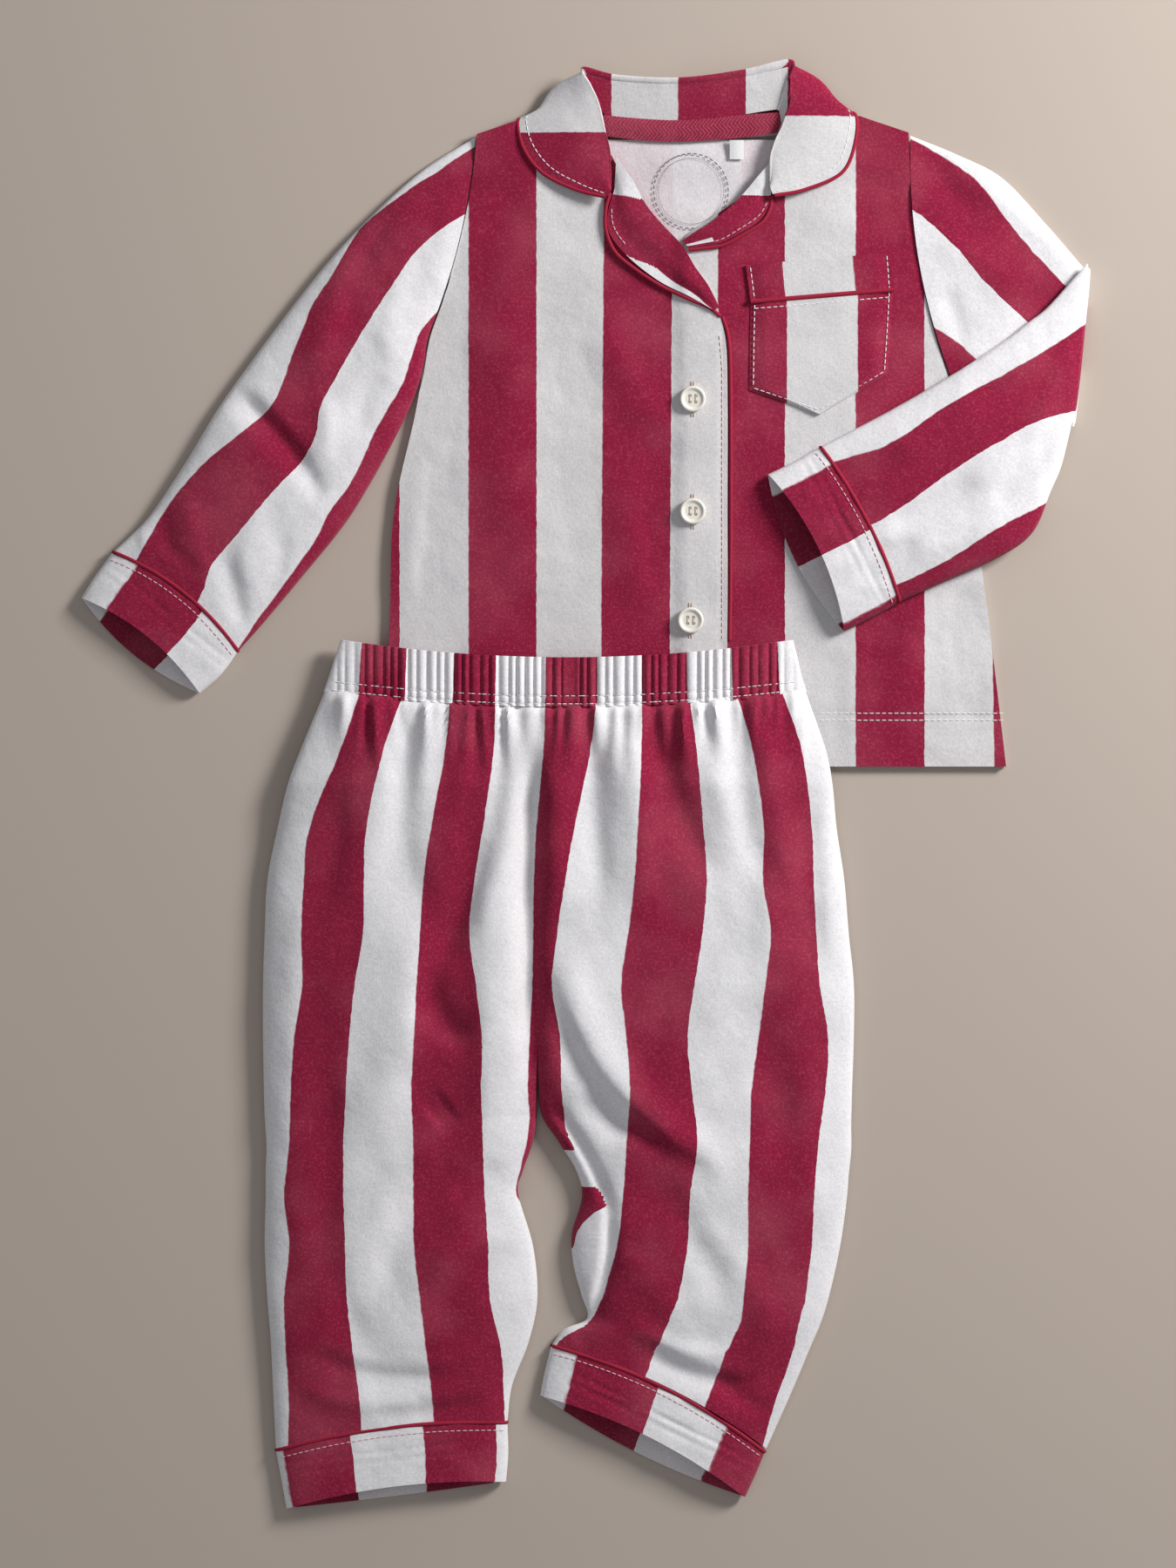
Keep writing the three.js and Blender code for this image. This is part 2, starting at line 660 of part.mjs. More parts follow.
// A closed geometry with only its places left, as a solid that can be cut.
function solidOf(kit, geometry) {
  geometry.deleteAttribute('normal');
  geometry.deleteAttribute('uv');
  const merged = mergeVertices(geometry, 1e-4);
  return new kit.Manifold(new kit.Mesh({
    numProp: 3,
    vertProperties: merged.attributes.position.array,
    triVerts: new Uint32Array(merged.index.array),
  }));
}

function button(kit, name, place) {
  const floor = BUTTON_THICKNESS * 0.62;
  const profile = [
    [0, 0],
    [0.82, 0],
    [1, 0.4 * BUTTON_THICKNESS],
    [0.96, 0.85 * BUTTON_THICKNESS],
    [0.84, BUTTON_THICKNESS],
    [0.68, floor],
    [0, floor],
  ].map(([r, z]) => new THREE.Vector2(r * BUTTON_RADIUS, z));
  const disc = new THREE.LatheGeometry(profile, 20);
  disc.rotateX(Math.PI / 2);
  let solid = solidOf(kit, disc);
  for (const sx of [-1, 1]) {
    for (const sy of [-1, 1]) {
      const hole = new THREE.CylinderGeometry(
        BUTTON_HOLE_RADIUS,
        BUTTON_HOLE_RADIUS,
        BUTTON_THICKNESS * 3,
        6,
      );
      hole.rotateX(Math.PI / 2);
      hole.translate(sx * BUTTON_HOLE_OFFSET, sy * BUTTON_HOLE_OFFSET, 0);
      solid = solid.subtract(solidOf(kit, hole));
    }
  }
  const z = frontLevel(place.x, place.y, true) + WALL / 2 + LYING_ON + 0.1;
  const mesh = solid.getMesh();
  const points = [];
  for (let i = 0; i < mesh.vertProperties.length; i += mesh.numProp) {
    const p = new THREE.Vector3(...mesh.vertProperties.slice(i, i + 3));
    points.push(p.add(new THREE.Vector3(place.x, place.y, z)));
  }
  return finish(name, 'cream', points, Array.from(mesh.triVerts));
}

// Trousers. A row gives the inner and outer edge of a leg, the level of its underside, its
// depth, and how far its inner side is shut: 0 at the rise seams, 1 below the crotch.
const LEG = ['ix', 'iy', 'ox', 'oy', 'z', 'up', 'shut', 'bow'];
const LEFT_LEG = rowsOf(LEG, [
  [-10, 35, -121, 41.5, 4.6, 5.5, 0, -1],
  [-13.5, 15, -131.6, 16, 4.6, 7.0, 0, 0],
  [-16.5, -1, -137.5, 0, 4.5, 8.0, 0, 0],
  [-18, -20, -142.4, -20, 1.2, 10.5, 0, 0],
  [-19.6, -44, -147.2, -44, 0, 11.5, 0, 0],
  [-20.4, -68, -148.4, -68, 0, 11.5, 0, 0],
  [-21.6, -92, -149.2, -92, 0, 11.5, 0, 0],
  [-22.8, -116, -149.2, -116, 0, 11.0, 0, 0],
  [-23.6, -136, -148.8, -140, 0, 10.5, 0.35, 0],
  [-23.6, -152, -148.4, -153, 0, 10.0, 1, 0],
  [-25.2, -164, -147.6, -166, 0, 10.0, 1, 0],
  [-30, -178, -148, -178, 0, 10.0, 1, 0],
  [-32, -188, -148, -190, 0, 10.0, 1, 0],
  [-25.2, -212, -148.4, -212, 0, 10.0, 1, 0],
  [-23.2, -236, -147.2, -236, 0, 9.5, 1, 0],
  [-27.2, -256, -145.6, -256, 0, 9.0, 1, 1],
  [-34.8, -276, -144.4, -282, 0, 7.5, 1, 3],
  [-37, -292.8, -143.2, -305.6, 0, 6.2, 1, 4.4],
]);
const RIGHT_LEG = rowsOf(LEG, [
  [-9.5, 35, 100, 41.5, 4.6, 5.5, 0, -1],
  [-13.2, 15, 108.8, 16, 4.6, 7.0, 0, 0],
  [-16.2, -1, 112, 0, 4.5, 8.0, 0, 0],
  [-17.8, -20, 114, -20, 1.2, 10.5, 0, 0],
  [-19.4, -44, 117.6, -44, 0, 11.5, 0, 0],
  [-20.2, -68, 119.6, -68, 0, 11.5, 0, 0],
  [-21.4, -92, 122, -92, 0, 11.5, 0, 0],
  [-22.6, -116, 122, -116, 0, 11.0, 0, 0],
  [-22.6, -136, 121.2, -140, 0, 10.5, 0.35, 0],
  [-21.2, -152, 120.8, -156, 0, 10.0, 1, 0],
  [-13.6, -164, 120.8, -168, 0, 10.0, 1, 0],
  [-5.2, -178, 119.6, -180, 0, 10.0, 1, 0],
  [-2.8, -190, 118.8, -190, 0, 10.0, 1, 0],
  [-7.4, -206, 116.4, -208, 0, 10.0, 1, 0],
  [-6.8, -220, 112.8, -226, 0, 9.5, 1, 0],
  [-3.2, -234, 108, -244, 0, 9.0, 1, 0],
  [-0.4, -245, 101, -261, 0, 8.0, 1, 1],
  [-6, -251, 93, -280, 0, 7.2, 1, 4],
  [-16.8, -257.6, 81.2, -306.4, 0, 6.2, 1, 6],
]);
const LEFT_LEG_CUFF = rowsOf(TUBE, [
  [-143.2, -305.6, -37, -292.8, 1.7, 6.2, 1.7, 0, 4.4, 4.4],
  [-140.6, -320, -36.6, -307, 1.8, 6.8, 1.8, 0, 4.6, 2],
  [-138.4, -332.4, -37.6, -320, 1.8, 7.0, 1.8, 0, 4.6, -0.5],
]);
const RIGHT_LEG_CUFF = rowsOf(TUBE, [
  [-16.8, -257.6, 81.2, -306.4, 1.7, 6.2, 1.7, 0, 6, 6],
  [-19.8, -269.5, 76.8, -317, 1.8, 6.8, 1.8, 0, 5.8, 1],
  [-22, -280.4, 72, -327.2, 1.8, 7.0, 1.8, 0, 5.6, -3.9],
]);
const LEG_FOOT = 1.7;

function legPoint(row, t, front, inset) {
  const w = new THREE.Vector3(row.ox - row.ix, row.oy - row.iy, 0);
  const length = w.length();
  w.normalize();
  const down = new THREE.Vector3(-w.y, w.x, 0);
  if (down.y > 0) down.negate();
  const inner = t < 0;
  const fall = inner ? 1 - row.shut + row.shut * dome(t, front ? DOME : FLOOR_SIDE)
    : dome(t, front ? DOME : FLOOR_SIDE);
  const start = inner || t === 0 ? SEAM / 2 + row.shut * inset : SEAM / 2;
  const span = length - start - inset;
  const along = start + (span * (t + 1)) / 2;
  const foot = row.z + LEG_FOOT;
  const z = front ? foot + SEAM / 2 + (row.up - inset) * fall
    : foot - SEAM / 2 - (LEG_FOOT - SEAM / 2 - inset) * fall;
  const p = new THREE.Vector3(row.ix, row.iy, z)
    .addScaledVector(w, along)
    .addScaledVector(down, -row.bow * (1 - t * t));
  if (front) {
    const edge = inner ? 1 - row.shut * t ** 6 : 1 - t ** 6;
    const room = row.up - WALL - LEAST_HOLLOW - 0.4;
    p.z += Math.max(-room, foldHeight('leg', p.x, p.y)) * edge;
  }
  return p;
}

function legPanel(name, rows, front, steps, count, room) {
  const ts = across(count);
  const last = rows.length - 1;
  const grid = (inset) => Array.from({ length: steps + 1 }, (_, j) => {
    const v = room[0] + ((last - room[1] - room[0]) * j) / steps;
    return ts.map((t) => legPoint(rowAt(rows, v), t, front, inset));
  });
  return wall(name, 'striped', grid(0), grid(WALL));
}

// Waistband: a flat ring with soft ribs on its front and back
const WAISTBAND = rowsOf(TUBE, [
  [-121.2, 42.2, 100.2, 42.2, 6.4, 6.0, 1.8, 0, -6.8, -6.8],
  [-118.5, 50, 97.8, 50, 6.4, 6.0, 1.8, 0, -7.2, -7.2],
  [-116, 58, 96, 58, 6.4, 6.0, 1.8, 0, -7.6, -7.6],
  [-113.4, 66, 94, 66, 6.4, 5.8, 1.8, 0, -8, -8],
]);

function waistband() {
  const count = BAND_RIBS * 2;
  const rows = 3;
  const ts = Array.from({ length: count + 1 }, (_, i) => (2 * i) / count - 1);
  const ring = (v, inset) => {
    const row = rowAt(WAISTBAND, v);
    const top = ts.map((t, i) => {
      const p = tubePoint(row, t, true, inset, null);
      const edge = 1 - Math.abs(t) ** 8;
      p.z += (i % 2 ? RIB_DEPTH : -RIB_DEPTH) * edge;
      return p;
    });
    const coarse = across(10).slice(1, -1).reverse();
    const bottom = coarse.map((t) => tubePoint(row, t, false, inset, null));
    return [...top, ...bottom];
  };
  const vs = Array.from({ length: rows + 1 }, (_, j) => ((WAISTBAND.length - 1) * j) / rows);
  const grid = (inset) => vs.map((v) => ring(v, inset));
  return wall('waistband', 'striped', grid(0), grid(WALL), true);
}

// Neck tape and size tab
const TAPE = rowsOf(LAPEL, [
  [10, 304.5, 9, 297.5],
  [26, 303, 25, 295.5],
  [42, 302.4, 42, 294.8],
  [58, 303.6, 58, 295.6],
  [72, 305.4, 74, 297],
  [88, 306.6, 88, 299],
]);

function neckTape() {
  const steps = 12;
  const grid = Array.from({ length: steps + 1 }, (_, j) => {
    const row = rowAt(TAPE, ((TAPE.length - 1) * j) / steps);
    return Array.from({ length: 3 }, (_, i) => {
      const x = row.ax + (row.bx - row.ax) * (i / 2);
      const y = row.ay + (row.by - row.ay) * (i / 2);
      return new THREE.Vector3(x, y, 4.0 + 0.5 * Math.sin((Math.PI * i) / 2));
    });
  });
  return sheet('neck_tape', 'crimson', grid);
}

function sizeTab() {
  const [x0, x1, y0, y1] = [65, 71.4, 286.5, 295.2];
  const grid = Array.from({ length: 4 }, (_, j) => Array.from({ length: 3 }, (_, i) => (
    new THREE.Vector3(x0 + ((x1 - x0) * i) / 2, y1 + ((y0 - y1) * j) / 3, 3.9 - 0.1 * j)
  )));
  return sheet('size_tab', 'pale', grid, 0.8);
}

// The whole set
const kit = await Module();
kit.setup();
const group = new THREE.Group();
group.name = 'pyjama_set';

group.add(jacketBack());
group.add(jacketFront('jacket_front_left', FRONT_LEFT, true, 6));
group.add(jacketFront('jacket_front_right', FRONT_RIGHT, false, 7));
group.add(tube('sleeve_left', 'striped', LEFT_SLEEVE, 15, 10, 'left', [SEAM, CORD_ROOM]));
group.add(tube('sleeve_right', 'striped', foldedRows(), 26, 10, 'fore', [SEAM, CORD_ROOM]));
group.add(tube('cuff_left', 'striped', LEFT_CUFF, 2, 10, null, [CORD_ROOM, 0]));
group.add(tube('cuff_right', 'striped', RIGHT_CUFF, 2, 10, null, [CORD_ROOM, 0]));
group.add(ringCord('piping_cuff_left', LEFT_CUFF[0], 10));
group.add(ringCord('piping_cuff_right', RIGHT_CUFF[0], 10));
group.add(sheet('collar', 'striped', collarGrid(28, 8)));
group.add(collarCord('piping_collar_left', 0.8, 3.6, 12));
group.add(collarCord('piping_collar_right', 10.4, 13.2, 12));
group.add(lapel('lapel_left', LAPEL_LEFT, true, 9, 4));
group.add(lapel('lapel_right', LAPEL_RIGHT, false, 8, 4));
group.add(layCord('piping_button_edge', BUTTON_EDGE, true, 14, 0.3));
group.add(layCord('piping_lapel_left', LAPEL_LEFT_EDGE, true, 12, WALL + LYING_ON + 0.2));
group.add(layCord('piping_lapel_right', LAPEL_RIGHT_EDGE, false, 9, WALL + LYING_ON + 0.2));
group.add(neckTape());
group.add(sizeTab());
group.add(pocketPart('pocket', 'striped', POCKET_BAND_END + 0.08, 4, 6, 6));
group.add(pocketPart('pocket_band', 'striped', 0, POCKET_BAND_END - 0.08, 2, 6));
group.add(pocketCord(6));
BUTTONS.forEach((place, i) => group.add(button(kit, `button_${i + 1}`, place)));

group.add(legPanel('trouser_front_left', LEFT_LEG, true, 24, 12, [0.02, 0.08]));
group.add(legPanel('trouser_front_right', RIGHT_LEG, true, 26, 12, [0.02, 0.13]));
group.add(legPanel('trouser_back_left', LEFT_LEG, false, 17, 6, [0.02, 0.08]));
group.add(legPanel('trouser_back_right', RIGHT_LEG, false, 18, 8, [0.02, 0.13]));
group.add(waistband());
group.add(tube('leg_cuff_left', 'striped', LEFT_LEG_CUFF, 2, 12, null, [CORD_ROOM, 0]));
group.add(tube('leg_cuff_right', 'striped', RIGHT_LEG_CUFF, 2, 12, null, [CORD_ROOM, 0]));
group.add(ringCord('piping_leg_left', LEFT_LEG_CUFF[0], 12));
group.add(ringCord('piping_leg_right', RIGHT_LEG_CUFF[0], 12));

// The origin lies under the middle of the set.
const box = new THREE.Box3().setFromObject(group);
group.children.forEach((mesh) => mesh.geometry.translate(
  -(box.min.x + box.max.x) / 2,
  -(box.min.y + box.max.y) / 2,
  -box.min.z,
));

export default group;
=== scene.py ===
import math

import bpy
import numpy as np
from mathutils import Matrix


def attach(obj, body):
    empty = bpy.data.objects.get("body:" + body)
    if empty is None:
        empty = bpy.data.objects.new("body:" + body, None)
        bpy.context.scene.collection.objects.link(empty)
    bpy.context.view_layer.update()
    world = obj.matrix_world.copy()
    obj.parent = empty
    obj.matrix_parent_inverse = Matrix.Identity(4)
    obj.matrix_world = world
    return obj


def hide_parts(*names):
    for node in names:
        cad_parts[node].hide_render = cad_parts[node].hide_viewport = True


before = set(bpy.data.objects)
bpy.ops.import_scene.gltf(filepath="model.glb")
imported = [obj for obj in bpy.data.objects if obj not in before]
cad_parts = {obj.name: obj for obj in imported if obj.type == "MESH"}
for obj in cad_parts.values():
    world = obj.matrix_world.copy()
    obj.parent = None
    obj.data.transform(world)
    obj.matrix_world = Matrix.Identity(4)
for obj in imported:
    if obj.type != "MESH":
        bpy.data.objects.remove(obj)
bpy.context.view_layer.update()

bl_info = {
    "name": "Laid-out Pyjama Set",
    "version": (1, 0, 0),
    "blender": (4, 5, 0),
    "location": "View3D > Sidebar > Pyjamas",
    "description": "Striped baby pyjamas laid flat, piece by piece",
    "category": "Object",
}

# Places in the tables are in millimetres. CENTRE moves them into the frame of the part.
CENTRE = (1.0807, 1.6205, 0.0)
MM = 0.001
# Width of a stripe
STRIPE = 31.0


class PyjamaSettings(bpy.types.PropertyGroup):
    """Sizes and colours that the operators read."""

    wall: bpy.props.FloatProperty(
        name="Wall", description="Thickness of the cloth", default=0.001,
        subtype="DISTANCE", unit="LENGTH")
    fineness: bpy.props.FloatProperty(
        name="Fineness", description="Spacing of the points across the cloth",
        default=0.0015, subtype="DISTANCE", unit="LENGTH")
    fold_strength: bpy.props.FloatProperty(
        name="Fold strength", description="Share of the full height of the folds",
        default=1.0, subtype="FACTOR")
    stitch_length: bpy.props.FloatProperty(
        name="Stitch", description="Length of one stitch", default=0.0021,
        subtype="DISTANCE", unit="LENGTH")
    button_radius: bpy.props.FloatProperty(
        name="Button radius", description="Radius of a button", default=0.006,
        subtype="DISTANCE", unit="LENGTH")
    view_distance: bpy.props.FloatProperty(
        name="View distance", description="Height of the camera over the set",
        default=3.0, subtype="DISTANCE", unit="LENGTH")
    white: bpy.props.FloatVectorProperty(
        name="White", description="White stripes of the sleeves and trousers", size=4,
        default=(0.80, 0.785, 0.80, 1), min=0, max=1, subtype="COLOR")
    # Painted shade: the white of the same jersey, darkened for the fronts, pocket and collar where
    # the jacket lies in shade.
    shaded_white: bpy.props.FloatVectorProperty(
        name="Shaded white", description="White stripes of the fronts, pocket and collar, darkened as painted shade", size=4,
        default=(0.67, 0.652, 0.657, 1), min=0, max=1, subtype="COLOR")
    red: bpy.props.FloatVectorProperty(
        name="Red", description="Red stripes", size=4,
        default=(0.275, 0.006, 0.041, 1), min=0, max=1, subtype="COLOR")
    # Pink also colours pale patches in the red, which are partly wear of the nap and partly
    # painted sheen.
    pink: bpy.props.FloatVectorProperty(
        name="Pink", description="Paler specks in the red", size=4,
        default=(0.52, 0.11, 0.16, 1), min=0, max=1, subtype="COLOR")


def settings():
    """The sizes and colours of this scene."""
    return bpy.context.scene.pyjama_settings


# Curves through short tables. These columns go straight from row to row.
HEIGHTS = ("mid", "up", "dn", "shut", "turn", "z")


def smooth(a, b, x):
    """A soft step from 0 at a to 1 at b."""
    t = np.clip((np.asarray(x, float) - a) / (b - a), 0, 1)
    return t * t * (3 - 2 * t)


def table(names, rows):
    """The columns of a short table by name."""
    data = np.array(rows, float)
    return {name: data[:, i] for i, name in enumerate(names)}


def bent(a, b, c, d, t):
    """The place at share t of the way from b to c, on a cubic curve whose slope at each
    place is that between its two neighbours. a comes before b and d after c."""
    bend = (2 * a - 5 * b + 4 * c - d) * t * t + (3 * b - a - 3 * c + d) * t ** 3
    return b + 0.5 * ((c - a) * t + bend)


def row_at(columns, v):
    """Row v of a table, for an array v: a curve through the rows for places, straight
    lines between them for heights."""
    v = np.asarray(v, float)
    last = len(next(iter(columns.values()))) - 1
    i = np.clip(np.floor(v).astype(int), 0, last - 1)
    t = v - i
    out = {}
    for name, column in columns.items():
        here, there = column[i], column[i + 1]
        if name in HEIGHTS:
            out[name] = here + (there - here) * t
            continue
        before = np.where(i > 0, column[np.maximum(i - 1, 0)], 2 * here - there)
        after = np.where(i + 2 <= last, column[np.minimum(i + 2, last)], 2 * there - here)
        out[name] = bent(before, here, there, after, t)
    return out


def stack(*parts):
    """Coordinates side by side, from arrays or single numbers."""
    return np.stack(np.broadcast_arrays(*parts), -1)


def spread(along, across_it):
    """A grid of places: each one along with each one across."""
    return np.broadcast_arrays(along[:, None], across_it[None])


def bell(offset, width):
    """A soft bump: 1 in its middle, falling off over its width."""
    return np.exp(-((offset / width) ** 2))


# Folds: a soft ridge, or a trough with a negative height, along a bent line
FOLD = ("x0", "y0", "x1", "y1", "bend", "left", "right", "height")
FOLDS = {
    "leg": table(FOLD, [
    [-25, 22, -25, -143, 2, 6, 6, -4.6],
    [-43, 28, -73, -86, -10, 7, 11, -3.2],
    [-74, -92, -56, -118, 4, 8, 8, -2.2],
    [-42, 6, -44, -175, 3, 12, 9, 2.0],
    [-80, 34, -78, -58, 5, 8, 9, -1.7],
    [-96, 30, -104, -50, -3, 8, 8, 1.1],
    [-112, 26, -122, -60, -3, 6, 7, -1.1],
    [-81, -76, -99, -160, -5, 10, 13, 2.0],
    [-64, -146, -72, -152, 0, 9, 9, -1.3],
    [-133, -60, -136, -200, 3, 7, 8, 0.9],
    [-120, -120, -122, -220, -2, 7, 8, -0.8],
    [-60, -170, -96, -232, 4, 8, 9, -1.3],
    [-50, -196, -80, -250, 3, 7, 9, 1.1],
    [-40, -176, -60, -190, 2, 6, 6, -1.2],
    [-36, -206, -70, -222, 3, 6, 7, 0.9],
    [-118, -214, -96, -262, 3, 7, 8, -1.0],
    [-124, -262, -62, -270, 5, 4, 6, -1.3],
    [-132, -276, -84, -284, 3, 4, 5, 0.9],
    [-96, -288, -50, -283, 2, 4, 5, -0.9],
    [-16, 12, -14, -60, 0, 7, 7, 1.6],
    [2, 16, 5, -52, 0, 6, 7, -1.9],
    [23, 14, 25, -60, 0, 7, 8, 1.5],
    [29, 30, 57, -42, 3, 7, 8, -1.8],
    [44, 28, 66, -20, -2, 6, 7, 1.0],
    [66, 30, 78, -40, 2, 6, 7, -1.1],
    [84, 28, 92, -44, 2, 6, 6, 0.9],
    [-12, -88, 57, -172, 12, 11, 6, 3.0],
    [-14, -104, 34, -166, 9, 6, 6, -1.8],
    [-3, -144, 18, -160, 0, 7, 8, -1.8],
    [102, -6, 103, -78, 0, 7, 7, -1.6],
    [110, -10, 112, -80, 0, 5, 5, 1.0],
    [81, -40, 84, -80, 0, 7, 7, 1.0],
    [70, -96, 92, -180, -5, 10, 10, -1.2],
    [100, -110, 104, -200, 2, 8, 8, 0.8],
    [30, -186, 62, -236, -4, 8, 8, -1.1],
    [50, -200, 84, -250, -4, 7, 8, 0.9],
    [14, -214, 40, -246, -2, 7, 7, 1.0],
    [26, -256, 72, -276, 4, 5, 7, -2.2],
    [20, -248, 60, -262, 4, 5, 6, 1.3],
    [60, -272, 84, -288, 2, 4, 5, -1.0],
    [-15, -150, 9, -194, -2, 4, 2.4, -3.2],
    [9, -196, -4, -250, -5, 4, 2.4, -3.2],
    ]),
    "left": table(FOLD, [
    [-162, 180, -126, 140, -2, 4, 7, -3.2],
    [-128, 142, -122, 132, 0, 4, 5, -1.2],
    [-107, 244, -126, 188, 0, 7, 8, 1.8],
    [-92, 262, -112, 214, 3, 6, 7, -1.2],
    [-120, 176, -120, 148, 0, 5, 6, 1.4],
    [-84, 236, -92, 196, 2, 6, 6, 0.9],
    [-96, 186, -106, 160, 2, 5, 5, -1.0],
    [-166, 104, -158, 74, 0, 4, 5, -1.6],
    [-184, 132, -174, 98, 2, 4, 5, 0.9],
    [-196, 128, -190, 104, 1, 4, 4, -1.1],
    [-150, 130, -156, 92, 2, 6, 6, 1.0],
    [-140, 116, -146, 84, -2, 4, 5, -1.0],
    [-206, 118, -202, 106, 0, 3, 3, 0.9],
    [-62, 272, -70, 226, 0, 6, 6, 0.9],
    ]),
    "upper": table(FOLD, [
    [170, 282, 222, 240, -3, 9, 7, 1.6],
    [156, 290, 176, 262, 2, 7, 7, -1.0],
    [160, 250, 196, 226, -2, 8, 8, 0.9],
    [165, 226, 172, 204, 0, 5, 5, -0.9],
    ]),
    "fore": table(FOLD, [
    [130, 150, 214, 196, 3, 9, 9, 1.5],
    [140, 118, 176, 138, 0, 6, 7, -1.9],
    [150, 104, 190, 122, 2, 5, 6, 1.0],
    [112, 140, 142, 152, 2, 5, 5, -1.0],
    [126, 104, 150, 110, 0, 4, 5, -1.0],
    [176, 176, 216, 208, -2, 6, 6, -1.0],
    [186, 130, 210, 160, 3, 6, 6, -1.2],
    [204, 150, 222, 200, -3, 5, 5, 0.8],
    ]),
    "body": table(FOLD, [
    [-36, 240, -30, 90, 4, 12, 13, 1.4],
    [-60, 220, -72, 110, 3, 8, 9, -0.9],
    [-74, 150, -80, 90, 2, 5, 6, 0.9],
    [-76, 106, -60, 66, 2, 6, 7, -1.0],
    [8, 210, 36, 162, 3, 7, 10, 1.3],
    [-6, 200, 4, 84, 3, 8, 8, -0.8],
    [14, 130, 24, 72, -2, 7, 8, 0.9],
    [30, 150, 32, 90, 1, 5, 5, -0.6],
    [-30, 286, -14, 240, 2, 9, 10, 0.8],
    [104, 284, 112, 250, 0, 14, 14, 0.7],
    [128, 280, 140, 240, 2, 7, 8, -0.7],
    [84, 160, 90, 84, 2, 6, 7, 0.7],
    [110, 66, 116, 30, 2, 9, 9, 0.8],
    [150, 86, 146, 26, 0, 10, 11, 1.2],
    [172, 90, 176, 30, 0, 6, 6, -0.7],
    [70, 110, 76, 66, 0, 5, 5, -0.5],
    ]),
}


def fold_height(on, x, y):
    """The sum of the folds of one kind: across each fold a bell whose width differs on its
    two sides, along it a soft start and end."""
    z = np.zeros_like(x)
    f = FOLDS[on]
    for x0, y0, x1, y1, bend, left, right, height in zip(*[f[k] for k in FOLD]):
        dx, dy = x1 - x0, y1 - y0
        length = math.hypot(dx, dy)
        s = ((x - x0) * dx + (y - y0) * dy) / length ** 2
        off = ((x - x0) * dy - (y - y0) * dx) / length
        off = off - bend * 4 * s * (1 - s) * ((s > 0) & (s < 1))
        fade = smooth(-0.18, 0.22, s) * (1 - smooth(0.78, 1.18, s))
        z = z + height * fade * bell(off, np.where(off < 0, left, right))
    return z * settings().fold_strength


def waves(x, y, size, seed):
    """Soft uneven cloth: six crossed sine waves of about one size, between -1 and 1."""
    rng = np.random.default_rng(seed)
    z = np.zeros_like(x)
    for angle, phase, stretch in rng.uniform((0, 0, 0.7), (math.pi, 6.28, 1.5), (6, 3)):
        along = x * math.cos(angle) + y * math.sin(angle)
        z = z + np.sin(along * 6.28 / (size * stretch) + phase)
    return z / 6


def gathers(x, y, seed, count, span, top, reach, width, height):
    """Small pleats that run down from a seam: each has its own place, length and height.
    top is the y of the seam for each x."""
    rng = np.random.default_rng(seed)
    z = np.zeros_like(x)
    places = np.linspace(*span, count) + rng.uniform(-0.4, 0.4, count) * (
        (span[1] - span[0]) / count)
    for place in places:
        lean = rng.uniform(-0.10, 0.10)
        length = reach * rng.uniform(0.35, 1.2)
        wide = width * rng.uniform(0.7, 1.4)
        down = top(x) - y
        off = (x - place - lean * down) / (wide * (1 + down / reach))
        fade = smooth(-3, 1, down) * (1 - smooth(0.15 * length, length, down))
        z = z + height * rng.uniform(0.5, 1.25) * fade * np.exp(-off * off)
    return z


# Stripes: boundaries between white and red, as curves over the cloth
def smooth_curve(curve, along):
    """The place of a boundary curve, rounded between its points."""
    index = np.interp(along, curve[0], np.arange(len(curve[0])))
    return row_at({"place": curve[1]}, index)["place"]


def stripe_field(across_axis, curves, x, y):
    """The stripe number at each place: it grows by 1 from one boundary curve to the next.
    Each curve gives the place of a boundary along one axis for places along the other."""
    sign = 1 if across_axis == "x" else -1
    along, across = (y, x) if across_axis == "x" else (x, -y)
    places = [sign * smooth_curve(c, along) for c in curves]
    s = np.clip((across - places[0]) / STRIPE, -1, 0)
    for a, b in zip(places, places[1:]):
        s = s + np.clip((across - a) / np.maximum(b - a, 0.5), 0, 1)
    return s + np.clip((across - places[-1]) / STRIPE, 0, 2)


def curves_of(rows):
    """Boundary curves from rows that hold a place along, then each boundary's place."""
    data = np.array(sorted(rows), float)
    return [(data[:, 0], data[:, i]) for i in range(1, data.shape[1])]


# Columns: y, then where the stripes change, from the outside inwards
LEFT_LEG_STRIPES = curves_of([
    [44, -103.6, -83.2, -62.8, -42, -19.6],
    [16, -113.2, -93.2, -65.2, -42.8, -20.4],
    [-20, -127.2, -100.8, -71.6, -47.6, -23.6],
    [-44, -130, -102, -75.2, -51.6, -24.8],
    [-68, -131.2, -102.4, -76.8, -54, -25.2],
    [-92, -130.8, -106.4, -78.4, -50.8, -25.6],
    [-116, -134.4, -108.8, -79.6, -48, -26.8],
    [-140, -136, -110.4, -80.8, -48.4, -27.6],
    [-153, -136.4, -111, -80.4, -48, -26.8],
    [-164, -136.8, -111.6, -80, -47.6, -28.2],
    [-176, -138, -111.6, -80, -47.2, -31],
    [-188, -139.2, -111.6, -80, -46.8, -33],
    [-196, -138.4, -111.3, -79.8, -46.2, -27],
    [-212, -136.8, -110.8, -79.6, -45.2, -14],
    [-236, -139.2, -110, -76.8, -44.4, -10],
    [-260, -138.4, -107.2, -74, -39.2, -8],
    [-284, -137.2, -104, -71.2, -38, -8],
    [-306, -137.6, -103, -70.4, -37.6, -8],
])
